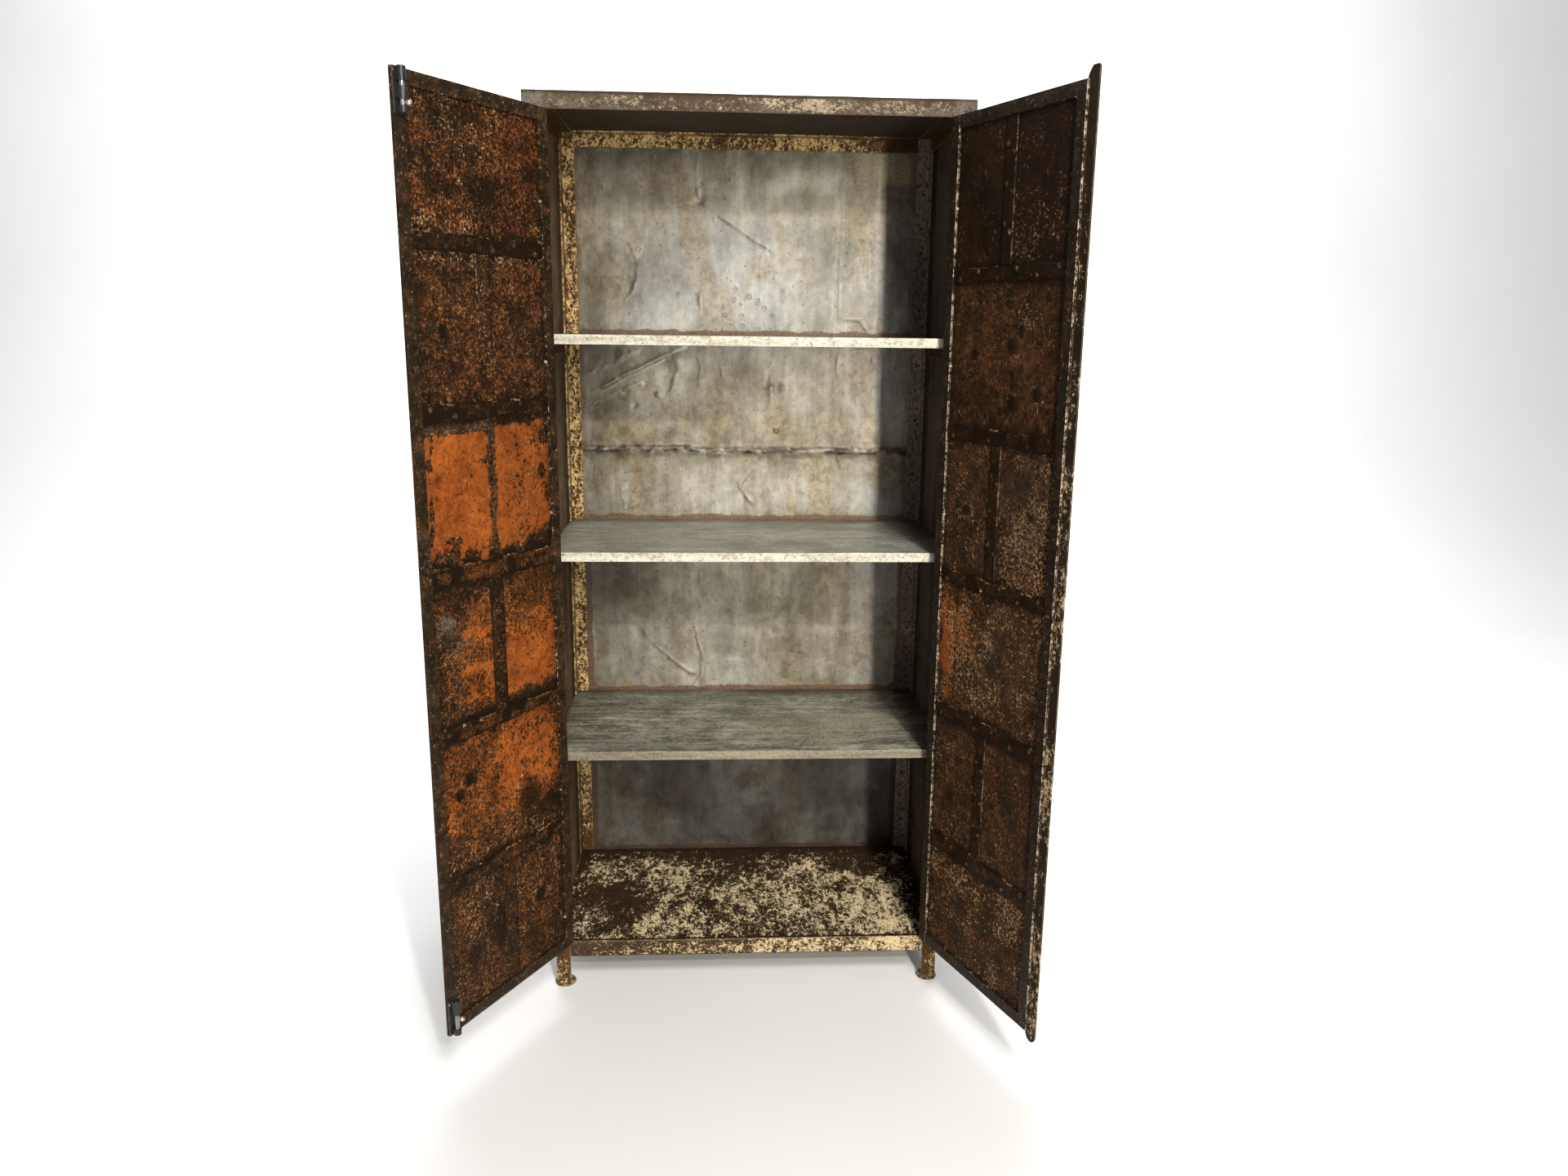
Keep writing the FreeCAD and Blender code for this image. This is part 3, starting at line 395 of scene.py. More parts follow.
def dome(p, at, out, rh, rise, seg=14, seed=1, sink=0.8, **masks):
    prof = [(0, -sink), (rh, -sink), (rh * 1.0, 0.0)]
    ball = (rh * rh + rise * rise) / (2 * rise)
    full = math.asin(min(1.0, rh / ball))
    for w in (0.78, 0.55, 0.3):
        prof.append((ball * math.sin(full * w), rise - ball + ball * math.cos(full * w)))
    prof.append((0, rise))
    lathe(p, at, out, prof, seg, uneven=0.10, seed=seed, **masks)


# ------------------------------------------------------------------ materials


class Mat:
    def __init__(self, name):
        self.m = bpy.data.materials.new(name)
        self.m.use_nodes = True
        self.t = self.m.node_tree
        self.t.nodes.clear()
        out = self.t.nodes.new("ShaderNodeOutputMaterial")
        self.b = self.t.nodes.new("ShaderNodeBsdfPrincipled")
        self.t.links.new(self.b.outputs[0], out.inputs[0])
        self.tc = self.attr("tc", True)
        self.count = 0

    def feed(self, sock, v):
        if isinstance(v, bpy.types.NodeSocket):
            self.t.links.new(v, sock)
        elif isinstance(v, tuple) and len(v) == 3 and sock.type == "RGBA":
            sock.default_value = (*v, 1.0)
        else:
            sock.default_value = v

    def attr(self, name, vector=False):
        n = self.t.nodes.new("ShaderNodeAttribute")
        n.attribute_type = "GEOMETRY"
        n.attribute_name = name
        return n.outputs["Vector" if vector else "Fac"]

    def stretch(self, scale=(1, 1, 1), shift=(0, 0, 0), vec=None):
        n = self.t.nodes.new("ShaderNodeMapping")
        self.feed(n.inputs["Vector"], vec or self.tc)
        n.inputs["Location"].default_value = shift
        n.inputs["Scale"].default_value = scale
        return n.outputs[0]

    def noise(self, scale, detail=4.0, rough=0.55, bend=0.0, vec=None, stretch=None):
        self.count += 1
        off = (3.7 * self.count, -2.3 * self.count, 5.1 * self.count)
        v = self.stretch(stretch or (1, 1, 1), off, vec)
        n = self.t.nodes.new("ShaderNodeTexNoise")
        n.inputs["Scale"].default_value = scale
        n.inputs["Detail"].default_value = detail
        n.inputs["Roughness"].default_value = rough
        n.inputs["Distortion"].default_value = bend
        self.t.links.new(v, n.inputs["Vector"])
        return n.outputs["Fac"]

    def spots(self, scale, stretch=None):
        """Distance to scattered points, in cells."""
        self.count += 1
        off = (1.9 * self.count, 4.3 * self.count, -3.1 * self.count)
        n = self.t.nodes.new("ShaderNodeTexVoronoi")
        n.inputs["Scale"].default_value = scale
        self.t.links.new(self.stretch(stretch or (1, 1, 1), off), n.inputs["Vector"])
        return n.outputs["Distance"]

    def calc(self, op, a, b=0.0, clamp=False):
        n = self.t.nodes.new("ShaderNodeMath")
        n.operation = op
        n.use_clamp = clamp
        self.feed(n.inputs[0], a)
        self.feed(n.inputs[1], b)
        return n.outputs[0]

    def add(self, a, b):
        return self.calc("ADD", a, b)

    def mul(self, a, b, clamp=False):
        return self.calc("MULTIPLY", a, b, clamp)

    def inv(self, a):
        return self.calc("SUBTRACT", 1.0, a)

    def wsum(self, *pairs, base=0.0):
        total = None
        for v, w in pairs:
            term = self.mul(v, w)
            total = term if total is None else self.add(total, term)
        return self.add(total, base) if base else total

    def ss(self, lo, hi, v, a=0.0, b=1.0):
        n = self.t.nodes.new("ShaderNodeMapRange")
        n.interpolation_type = "SMOOTHSTEP"
        self.feed(n.inputs["Value"], v)
        n.inputs["From Min"].default_value = lo
        n.inputs["From Max"].default_value = hi
        n.inputs["To Min"].default_value = a
        n.inputs["To Max"].default_value = b
        return n.outputs["Result"]

    def ramp(self, fac, stops):
        n = self.t.nodes.new("ShaderNodeValToRGB")
        els = n.color_ramp.elements
        while len(els) < len(stops):
            els.new(0.5)
        for e, (pos, col) in zip(els, stops):
            e.position = pos
            e.color = (*col, 1.0)
        self.feed(n.inputs[0], fac)
        return n.outputs[0]

    def mix(self, fac, a, b, how="MIX"):
        n = self.t.nodes.new("ShaderNodeMix")
        n.data_type = "RGBA"
        n.blend_type = how
        n.clamp_factor = True
        self.feed(n.inputs[0], fac)
        self.feed(n.inputs[6], a)
        self.feed(n.inputs[7], b)
        return n.outputs[2]

    def bump(self, height, strength=0.4, distance=0.001):
        n = self.t.nodes.new("ShaderNodeBump")
        n.inputs["Strength"].default_value = strength
        n.inputs["Distance"].default_value = distance
        self.feed(n.inputs["Height"], height)
        self.t.links.new(n.outputs[0], self.b.inputs["Normal"])

    def finish(self, colour, rough, metal=0.0, spec=0.5, tint=None):
        if tint:
            self.b.inputs["Specular Tint"].default_value = (*tint, 1.0)
        self.feed(self.b.inputs["Base Color"], colour)
        self.feed(self.b.inputs["Roughness"], rough)
        self.feed(self.b.inputs["Metallic"], metal)
        self.feed(self.b.inputs["Specular IOR Level"], spec)
        return self.m


def make_door_skin():
    m = Mat("door_skin")
    org, red, crm, drk, pal, dul = (m.attr(k) for k in ("org", "red", "crm", "drk", "pal", "dul"))
    big = m.noise(14, 5, 0.62, 0.4)
    mid = m.noise(52, 5, 0.66, 0.3)
    chip = m.noise(115, 4, 0.66, 0.4)
    grit = m.noise(235, 3, 0.64)
    dust = m.noise(520, 3, 0.60)
    # crust: nearly black in the hollows of the grain, tan on its tops
    tone = m.wsum((chip, 0.65), (grit, 1.25), (dust, 0.50), (mid, 0.35), (big, 0.20), (crm, 0.06), (drk, -0.16), base=-0.995)
    brown = m.ramp(tone, [(0.28, (0.0042, 0.0030, 0.0020)), (0.42, (0.0140, 0.0078, 0.0040)), (0.53, (0.048, 0.0222, 0.0088)),
                          (0.63, (0.120, 0.053, 0.0185)), (0.75, (0.25, 0.125, 0.046)), (0.90, (0.44, 0.285, 0.125))])
    ruddy = m.ramp(tone, [(0.28, (0.0055, 0.0031, 0.0019)), (0.42, (0.023, 0.0084, 0.0036)), (0.53, (0.080, 0.0235, 0.0080)),
                          (0.63, (0.175, 0.051, 0.0145)), (0.75, (0.29, 0.103, 0.033)), (0.90, (0.45, 0.26, 0.11))])
    tawny = m.ramp(tone, [(0.26, (0.0095, 0.0047, 0.0022)), (0.40, (0.058, 0.0208, 0.0064)), (0.52, (0.138, 0.044, 0.0112)),
                          (0.63, (0.220, 0.073, 0.0170)), (0.78, (0.32, 0.125, 0.033)), (0.94, (0.45, 0.25, 0.095))])
    col = m.mix(m.mul(red, m.ss(0.38, 0.60, m.wsum((mid, 0.5), (big, 0.5)))), brown, ruddy)
    col = m.mix(m.ss(0.20, 0.62, m.wsum((org, 1.0), (big, 0.45), (mid, 0.45), base=-0.45)), col, tawny)
    # an even film of brown rust that closes the grain
    film = m.ramp(m.wsum((big, 0.35), (mid, 0.35), (chip, 0.30)), [(0.42, (0.0120, 0.0068, 0.0042)), (0.50, (0.044, 0.0205, 0.0105)), (0.58, (0.098, 0.047, 0.0230))])
    col = m.mix(m.mul(dul, m.ss(0.38, 0.56, m.wsum((mid, 0.5), (chip, 0.5)), 0.55, 1.0)), col, film)
    # remains of orange paint: solid where org is 1, a scatter of chips where it is low
    lay_o = m.wsum((org, 1.35), (chip, 0.95), (grit, 0.85), (mid, 0.6), base=-1.93)
    paint = m.ss(-0.02, 0.05, lay_o)
    orange = m.ramp(m.wsum((big, 0.30), (mid, 0.26), (chip, 0.20), (grit, 0.24)),
                    [(0.42, (0.135, 0.031, 0.0062)), (0.5, (0.245, 0.062, 0.0112)), (0.58, (0.345, 0.098, 0.0185))])
    orange = m.mix(m.mul(m.ss(0.55, 0.63, m.noise(130, 6, 0.70)), 0.62), orange, (0.095, 0.029, 0.0080))
    col = m.mix(paint, col, orange)
    # pale flecks of an older coat
    fleck = m.calc("SUBTRACT", m.wsum((m.noise(165, 4, 0.66, 0.5), 0.60), (grit, 0.40)), m.ss(0.0, 1.0, crm, 0.645, 0.525))
    flecks = m.ss(0.0, 0.022, fleck)
    col = m.mix(m.mul(flecks, 0.92), col, m.ramp(m.wsum((mid, 0.4), (dust, 0.6)), [(0.40, (0.22, 0.106, 0.044)), (0.60, (0.60, 0.405, 0.215))]))
    # worn grey metal, grime with painted shade (in the dents and along the panel edges), pits
    col = m.mix(m.mul(pal, m.ss(0.38, 0.58, m.wsum((mid, 0.5), (grit, 0.5)))), col, (0.135, 0.115, 0.096))
    col = m.mix(m.mul(drk, 0.46), col, (0.0042, 0.0030, 0.0022))
    grime_and_shade = m.mul(drk, m.ss(0.44, 0.57, m.wsum((big, 0.10), (mid, 0.24), (chip, 0.38), (grit, 0.28))))
    col = m.mix(m.mul(grime_and_shade, 0.80), col, (0.0060, 0.0042, 0.0029))
    pits = m.ss(0.572, 0.612, m.wsum((m.noise(140, 5, 0.70), 0.7), (grit, 0.3)))
    col = m.mix(m.mul(pits, 0.90), col, (0.0065, 0.0044, 0.0030))
    rough = m.ss(0.3, 0.7, m.wsum((mid, 0.5), (grit, 0.5)), 0.52, 0.88)
    m.bump(m.wsum((chip, 0.5), (grit, 0.45), (mid, 0.3), (flecks, 0.2), (paint, 0.3), (pits, -0.5)), 0.7, 0.0016)
    return m.finish(col, rough, 0.0, 0.18, (1.0, 0.62, 0.32))


def make_iron(name, dark, mid_c, light, edge_c, rough=(0.46, 0.74), edge_gain=0.5, rust=0.4, spec=0.28):
    """Oily dark iron with pale rims, used on bars, hinges and rivets: wear on the rivets and hinges, a painted
    highlight line on the door bars' edges that face the panel.
    """
    m = Mat(name)
    ed, wear, rst = m.attr("ed"), m.attr("wear"), m.attr("rst")
    big = m.noise(17, 6, 0.62, 0.5)
    mid = m.noise(85, 6, 0.70)
    fine = m.noise(300, 4, 0.68)
    tone = m.wsum((big, 0.40), (mid, 0.35), (fine, 0.25))
    col = m.ramp(tone, [(0.40, dark), (0.50, mid_c), (0.60, light)])
    rusty = m.ss(0.51, 0.62, m.wsum((m.noise(45, 6, 0.70, 0.3), 0.55), (mid, 0.2), (fine, 0.25), (rst, 0.16)))
    col = m.mix(m.mul(rusty, rust), col, m.ramp(fine, [(0.38, (0.050, 0.018, 0.0070)), (0.62, (0.190, 0.070, 0.023))]))
    crust = m.ss(0.53, 0.61, m.wsum((m.noise(70, 6, 0.72), 0.6), (fine, 0.4)))
    col = m.mix(m.mul(crust, 0.9), col, dark)
    pale_rim = m.ss(0.0, 0.16, m.wsum((ed, edge_gain), (wear, 0.85), (mid, 2.4), (fine, 1.4), base=-2.50))
    col = m.mix(pale_rim, col, edge_c)
    dust = m.ss(0.585, 0.635, m.wsum((m.noise(210, 4, 0.68), 0.75), (mid, 0.25)))
    col = m.mix(m.mul(dust, 0.75), col, (0.26, 0.160, 0.075))
    m.bump(m.wsum((mid, 0.7), (fine, 0.4), (crust, 0.3)), 0.55, 0.0012)
    return m.finish(col, m.ss(0.3, 0.7, m.wsum((mid, 0.5), (fine, 0.5)), rough[0], rough[1]), 0.0, spec, (1.0, 0.72, 0.44))


def make_flaked(name, cover, cream_lo, cream_hi, under_lo, under_hi, stretch=(1, 1, 1), scale=46.0, bare=(0.15, 0.135, 0.125), clump=0.6, crisp=0.035):
    """Flaking pale paint over dark brown metal.  cover is the share left; the
    attributes crm, drk and pal change it from place to place."""
    m = Mat(name)
    crm, drk, pal, ed = m.attr("crm"), m.attr("drk"), m.attr("pal"), m.attr("ed")
    big = m.noise(scale * 0.30, 5, 0.62, 0.6, stretch=stretch)
    mid = m.noise(scale * 1.1, 6, 0.70, 0.3, stretch=stretch)
    fine = m.noise(scale * 3.2, 5, 0.72, stretch=stretch)
    grain = m.noise(520, 3, 0.6)
    under = m.ramp(m.wsum((big, 0.2), (mid, 0.3), (fine, 0.5)), [(0.40, under_lo), (0.60, under_hi)])
    lay_c = m.wsum((big, clump), (mid, 1.0), (fine, 0.9), (crm, 0.5), (drk, -0.35), base=-0.95 - 0.5 * clump + 0.62 * (cover - 0.5))
    paint = m.ss(0.0, crisp, lay_c)
    cream = m.ramp(m.wsum((big, 0.15), (mid, 0.2), (fine, 0.4), (grain, 0.25)), [(0.40, cream_lo), (0.57, cream_hi)])
    cream = m.mix(m.mul(m.ss(0.07, 0.0, lay_c), 0.7), cream, cream_lo)
    col = m.mix(paint, under, cream)
    col = m.mix(m.mul(pal, m.ss(0.34, 0.52, mid)), col, m.ramp(fine, [(0.37, tuple(0.5 * c for c in bare)), (0.62, tuple(1.6 * c for c in bare))]))
    col = m.mix(m.mul(m.ss(0.57, 0.63, m.wsum((m.noise(190, 4, 0.68), 0.7), (fine, 0.3))), 0.85), col, under_lo)
    col = m.mix(m.mul(drk, m.ss(0.34, 0.58, m.wsum((big, 0.3), (fine, 0.7)), 0.35, 0.95)), col, (0.0085, 0.006, 0.0045))
    col = m.mix(m.mul(m.ss(0.30, 0.7, m.wsum((ed, 0.55), (mid, 0.7), base=-0.35)), 0.3), col, (0.36, 0.27, 0.16))
    m.bump(m.wsum((paint, 0.5), (fine, 0.35), (grain, 0.15)), 0.6, 0.0012)
    return m.finish(col, m.ss(0.3, 0.7, fine, 0.52, 0.84), 0.0, 0.22, (1.0, 0.76, 0.50))


def make_back():
    m = Mat("back_bare")
    rst, crm, drk, blu, dim, lit = (m.attr(k) for k in ("rst", "crm", "drk", "blu", "dim", "lit"))
    cloud = m.noise(5.0, 6, 0.6, 0.6)
    streak = m.noise(24, 7, 0.66, 0.2, stretch=(1, 1, 0.13))
    smear = m.noise(13, 8, 0.68, 0.9, stretch=(1, 1, 0.6))
    blotch = m.noise(48, 7, 0.70, 0.5)
    fine = m.noise(190, 5, 0.70)
    grain = m.noise(700, 3, 0.6, stretch=(1, 1, 0.3))
    tone = m.wsum((cloud, 0.32), (streak, 0.24), (smear, 0.26), (blotch, 0.14), (fine, 0.06))
    col = m.ramp(tone, [(0.40, (0.105, 0.087, 0.055)), (0.465, (0.205, 0.181, 0.130)),
                        (0.525, (0.325, 0.301, 0.240)), (0.60, (0.52, 0.496, 0.415))])
    col = m.mix(m.mul(blu, 0.8), col, m.ramp(tone, [(0.39, (0.120, 0.124, 0.124)), (0.48, (0.250, 0.253, 0.246)), (0.61, (0.455, 0.458, 0.442))]))
    warm = m.ss(0.47, 0.62, m.noise(7.0, 6, 0.66, 0.8, stretch=(1, 1, 0.45)))
    col = m.mix(m.mul(warm, 0.55), col, m.ramp(blotch, [(0.4, (0.170, 0.122, 0.060)), (0.6, (0.36, 0.282, 0.160))]))
    white = m.ss(0.55, 0.67, m.wsum((m.noise(22, 7, 0.70, 0.5, stretch=(1, 1, 0.5)), 0.8), (fine, 0.2)))
    col = m.mix(m.mul(white, 0.36), col, (0.54, 0.520, 0.448))
    scuff = m.ss(0.55, 0.65, m.wsum((m.noise(75, 7, 0.72), 0.75), (fine, 0.25)))
    col = m.mix(m.mul(scuff, 0.34), col, (0.085, 0.070, 0.048))
    nick = m.ss(0.645, 0.68, m.noise(190, 5, 0.66, stretch=(1, 1, 0.22)))
    col = m.mix(m.mul(nick, 0.35), col, (0.62, 0.605, 0.54))
    spot = m.ss(0.16, 0.09, m.spots(42))
    col = m.mix(m.mul(spot, 0.40), col, (0.050, 0.041, 0.029))
    patch = m.ss(0.0, 0.16, m.wsum((crm, 1.0), (fine, 0.9), (blotch, 0.7), (streak, 0.5), base=-1.44))
    col = m.mix(m.mul(patch, 0.85), col, m.ramp(m.wsum((fine, 0.5), (streak, 0.5)), [(0.40, (0.20, 0.150, 0.076)), (0.58, (0.55, 0.475, 0.295))]))
    rusty = m.ss(0.0, 0.22, m.wsum((rst, 1.0), (fine, 0.8), (smear, 0.6), base=-1.05))
    col = m.mix(m.mul(rusty, 0.85), col, m.ramp(fine, [(0.38, (0.065, 0.031, 0.013)), (0.62, (0.25, 0.125, 0.045))]))
    # painted highlights: crease sides, crumple tops and pit centres
    col = m.mix(m.mul(lit, 0.8), col, (0.72, 0.70, 0.63))
    # dark marks (cracks, seam line, pit rims) and painted shade beside the creases and in the crumples
    col = m.mix(m.mul(drk, m.ss(0.3, 0.6, fine, 0.6, 1.0)), col, (0.022, 0.018, 0.014))
    # this mask darkens the sheet: random tone, and painted shadow bands from the cap lip and the shelf fronts
    col = m.mix(dim, col, m.mix(1.0, col, (0.12, 0.103, 0.080), "MULTIPLY"))
    m.bump(m.wsum((smear, 0.6), (streak, 0.3), (blotch, 0.25), (fine, 0.22), (grain, 0.12)), 0.34, 0.0018)
    metal = m.mul(m.inv(m.calc("MAXIMUM", patch, rusty)), 0.45)
    return m.finish(col, m.ss(0.3, 0.7, m.wsum((smear, 0.6), (fine, 0.4)), 0.38, 0.60), metal, 0.35)


def make_shelf():
    m = Mat("shelf_zinc")
    lip, drk, crm, old, lgt = (m.attr(k) for k in ("lip", "drk", "crm", "old", "lgt"))
    brush = m.noise(60, 6, 0.68, stretch=(0.10, 1, 1))
    cloud = m.noise(9, 6, 0.66, 0.7)
    stain = m.noise(30, 7, 0.72, 0.8, stretch=(0.7, 1, 1))
    fine = m.noise(240, 5, 0.72)
    scratch = m.noise(120, 5, 0.66, stretch=(0.12, 1, 1))
    nicks = m.noise(130, 6, 0.72, 0.4)
    col = m.ramp(m.wsum((brush, 0.26), (cloud, 0.22), (stain, 0.24), (fine, 0.28)),
                 [(0.440, (0.085, 0.084, 0.062)), (0.478, (0.215, 0.214, 0.168)), (0.515, (0.390, 0.388, 0.322)), (0.555, (0.70, 0.698, 0.60))])
    col = m.mix(m.mul(m.ss(0.51, 0.60, stain), 0.6), col, m.mix(1.0, col, (0.36, 0.33, 0.25), "MULTIPLY"))
    col = m.mix(m.mul(m.ss(0.59, 0.65, scratch), 0.75), col, (0.66, 0.655, 0.585))
    col = m.mix(m.mul(m.ss(0.57, 0.63, nicks), 0.65), col, (0.62, 0.60, 0.51))
    col = m.mix(m.mul(m.ss(0.51, 0.58, m.wsum((m.noise(95, 6, 0.74, 0.5, stretch=(0.5, 1, 1)), 0.6), (fine, 0.4))), 0.78), col, (0.070, 0.063, 0.043))
    col = m.mix(m.mul(m.ss(0.50, 0.62, m.noise(24, 6, 0.70)), 0.42), col, (0.21, 0.170, 0.090))
    col = m.mix(m.mul(lgt, 0.42), col, m.ramp(m.wsum((scratch, 0.5), (fine, 0.5)), [(0.42, (0.30, 0.30, 0.26)), (0.56, (0.80, 0.80, 0.72))]))
    pale = m.ss(0.0, 0.14, m.wsum((crm, 1.0), (fine, 2.4), (cloud, 0.7), (nicks, 2.2), base=-3.22))
    col = m.mix(m.mul(pale, 0.8), col, m.ramp(fine, [(0.4, (0.25, 0.215, 0.140)), (0.6, (0.56, 0.52, 0.39))]))
    col = m.mix(m.mul(drk, m.ss(0.3, 0.6, fine, 0.7, 0.95)), col, (0.030, 0.028, 0.022))
    edge_c = m.ramp(m.wsum((fine, 0.5), (brush, 0.5)), [(0.40, (0.33, 0.305, 0.230)), (0.57, (0.60, 0.578, 0.478))])
    edge_c = m.mix(m.mul(old, 0.9), edge_c, m.ramp(m.wsum((fine, 0.5), (brush, 0.5)), [(0.40, (0.078, 0.062, 0.036)), (0.60, (0.25, 0.212, 0.140))]))
    speck = m.ss(0.55, 0.61, m.wsum((m.noise(220, 5, 0.72, stretch=(0.6, 1, 1)), 0.75), (fine, 0.25)))
    edge_c = m.mix(m.mul(speck, 0.85), edge_c, (0.090, 0.075, 0.050))
    edge_c = m.mix(m.mul(m.ss(0.53, 0.61, m.noise(60, 6, 0.72)), 0.6), edge_c, (0.22, 0.183, 0.112))
    col = m.mix(lip, col, edge_c)
    m.bump(m.wsum((brush, 0.4), (fine, 0.4), (nicks, 0.3)), 0.28, 0.0009)
    return m.finish(col, m.ss(0.3, 0.7, m.wsum((brush, 0.5), (fine, 0.5)), 0.34, 0.58), m.mul(m.inv(lip), 0.30), 0.4)


def make_plain_iron(name, lo, hi, rough, metal, edge=None):
    m = Mat(name)
    ed = m.attr("ed")
    big = m.noise(60, 6, 0.6)
    fine = m.noise(420, 4, 0.6)
    col = m.ramp(m.wsum((big, 0.6), (fine, 0.4)), [(0.34, lo), (0.68, hi)])
    if edge:
        col = m.mix(m.mul(m.ss(0.4, 0.9, m.wsum((ed, 0.7), (fine, 0.5))), 0.7), col, edge)
    col = m.mix(m.mul(m.ss(0.58, 0.68, m.noise(170, 5, 0.62)), 0.45), col, (0.10, 0.055, 0.030))
    m.bump(m.wsum((big, 0.4), (fine, 0.6)), 0.25, 0.0006)
    return m.finish(col, m.ss(0.3, 0.7, fine, rough[0], rough[1]), metal, 0.5)


def make_rod():
    m = Mat("bolt_steel")
    knob = m.attr("knob")
    turn = m.noise(300, 5, 0.6, stretch=(1, 1, 0.2))
    fine = m.noise(520, 4, 0.6)
    col = m.ramp(turn, [(0.35, (0.20, 0.19, 0.175)), (0.65, (0.46, 0.44, 0.40))])
    col = m.mix(knob, col, m.ramp(fine, [(0.35, (0.50, 0.46, 0.38)), (0.65, (0.72, 0.68, 0.58))]))
    col = m.mix(m.mul(m.ss(0.60, 0.70, m.noise(140, 5, 0.6)), 0.6), col, (0.11, 0.065, 0.035))
    m.bump(m.wsum((turn, 0.5), (fine, 0.5)), 0.12, 0.0005)
    return m.finish(col, m.ss(0.3, 0.7, fine, 0.22, 0.40), 0.85, 0.5)


DOOR_SKIN = make_door_skin()
DOOR_BAR = make_iron("door_bar", (0.0050, 0.0037, 0.0025), (0.0150, 0.0098, 0.0054), (0.042, 0.0250, 0.0122), (0.34, 0.25, 0.17), edge_gain=0.25, rust=0.5, spec=0.2)
DOOR_BAR_DARK = make_iron("door_bar_dark", (0.0042, 0.0036, 0.0028), (0.0100, 0.0082, 0.0060), (0.027, 0.0200, 0.0138), (0.34, 0.27, 0.20), edge_gain=0.25, rust=0.22, spec=0.2)
RIVET = make_iron("rivet_iron", (0.0060, 0.0044, 0.0030), (0.020, 0.0130, 0.0074), (0.060, 0.036, 0.018), (0.34, 0.27, 0.19), edge_gain=0.35, rust=0.5, spec=0.2)
HINGE = make_iron("hinge_iron", (0.010, 0.0075, 0.005), (0.028, 0.019, 0.011), (0.068, 0.043, 0.022), (0.30, 0.25, 0.18), edge_gain=0.5)
HASP = make_iron("hasp_iron", (0.012, 0.010, 0.008), (0.032, 0.026, 0.020), (0.070, 0.055, 0.040), (0.25, 0.22, 0.18), edge_gain=0.4, rust=0.5)
POST = make_flaked("post_paint", 0.35, (0.200, 0.098, 0.029), (0.78, 0.560, 0.262), (0.0120, 0.0068, 0.0038), (0.150, 0.072, 0.026), scale=132, stretch=(1, 1, 0.7), bare=(0.25, 0.215, 0.19), crisp=0.06)
FOOT = make_flaked("foot_iron", 0.50, (0.15, 0.098, 0.054), (0.38, 0.285, 0.180), (0.036, 0.022, 0.013), (0.125, 0.072, 0.038), scale=90)
CAP = make_flaked("cap_paint", 0.34, (0.150, 0.112, 0.072), (0.43, 0.350, 0.235), (0.022, 0.0150, 0.0105), (0.105, 0.073, 0.049), scale=150, stretch=(0.7, 1, 1), clump=0.5, bare=(0.135, 0.114, 0.096))
RAIL = make_flaked("rail_paint", 0.34, (0.26, 0.178, 0.088), (0.74, 0.580, 0.340), (0.012, 0.0075, 0.0050), (0.085, 0.050, 0.026), scale=150, stretch=(0.8, 1, 1), clump=0.6, crisp=0.025)
FLOOR = make_flaked("floor_paint", 0.455, (0.30, 0.200, 0.095), (1.0, 0.830, 0.520), (0.0060, 0.0038, 0.0026), (0.076, 0.042, 0.021), scale=128, stretch=(0.8, 0.45, 1), clump=0.72, crisp=0.02)
SIDE = make_flaked("side_skin", 0.20, (0.14, 0.092, 0.050), (0.36, 0.265, 0.165), (0.036, 0.0215, 0.0110), (0.255, 0.155, 0.084), scale=62, stretch=(1, 0.35, 0.5), clump=0.5, bare=(0.105, 0.090, 0.084))
COVER = make_flaked("cover_paint", 0.30, (0.15, 0.092, 0.046), (0.52, 0.385, 0.225), (0.0055, 0.0042, 0.0032), (0.028, 0.0175, 0.0105), scale=92, stretch=(1, 1, 0.6), crisp=0.02)
BACK = make_back()
SHELF = make_shelf()
BOLT = make_plain_iron("bolt_black", (0.004, 0.0045, 0.0055), (0.014, 0.015, 0.019), (0.34, 0.50), 0.0, (0.060, 0.064, 0.072))
ROD = make_rod()

# -------------------------------------------------------------------- carcass
HW, HD = 432.0, 232.0


def post_masks(front):
    def crm(v):
        z, x = v[:, 2], v[:, 0]
        if front:
            return np.where(z < 80, 0.12, -0.13 + 0.34 * (fbm(x + v[:, 1], z, 150, 6) - 0.5) * 2)
        return 0.22 + 0.15 * (fbm(x, z, 130, 5) - 0.5) - 0.25 * step(250, 120, z)
    return crm


for fy, sy in (("front", -1), ("rear", 1)):
    for fx, sx in (("left", -1), ("right", 1)):
        p = Piece()
        angle_bar(p, 2, 6.0, 1898.5, (sx * HW, sy * HD), (-sx * 32, -sy * 32), 4.0, pitch=16,
                  seed=11 + 3 * (sx > 0) + 7 * (sy > 0), crm=post_masks(sy < 0) if sx < 0 or sy < 0 else 0.05,
                  drk=lambda v, s=sx, r=sy: (0.30 * step(0.42, 0.66, fbm(v[:, 0] + v[:, 1], v[:, 2], 90, 13)) if s > 0 and r > 0 else 0.40 * step(0.46, 0.64, fbm(v[:, 0] - v[:, 1], v[:, 2], 120, 15)) * (r < 0)) + 0.0 * v[:, 0],
                  pal=0.80 if sx > 0 and sy > 0 else 0.0)
        p.done("vis_post_%s_%s" % (fy, fx), POST, "carcass", "post_%s_%s" % (fy, fx), "post_paint")

p = Piece()
for sx in (-1, 1):
    for sy in (-1, 1):
        lathe(p, (sx * 415, sy * 215, 0), (0, 0, 1),
              [(0, 0), (21.8, 0), (23.0, 0.7), (23.2, 2.0), (23.1, 3.9), (22.4, 5.0), (19.8, 5.7), (0, 6.0)], 40,
              uneven=0.03, seed=3 + sx + 2 * sy, crm=0.1, ed=0.0)
p.done("vis_foot_discs", FOOT, "carcass", "foot_discs", "foot_iron")


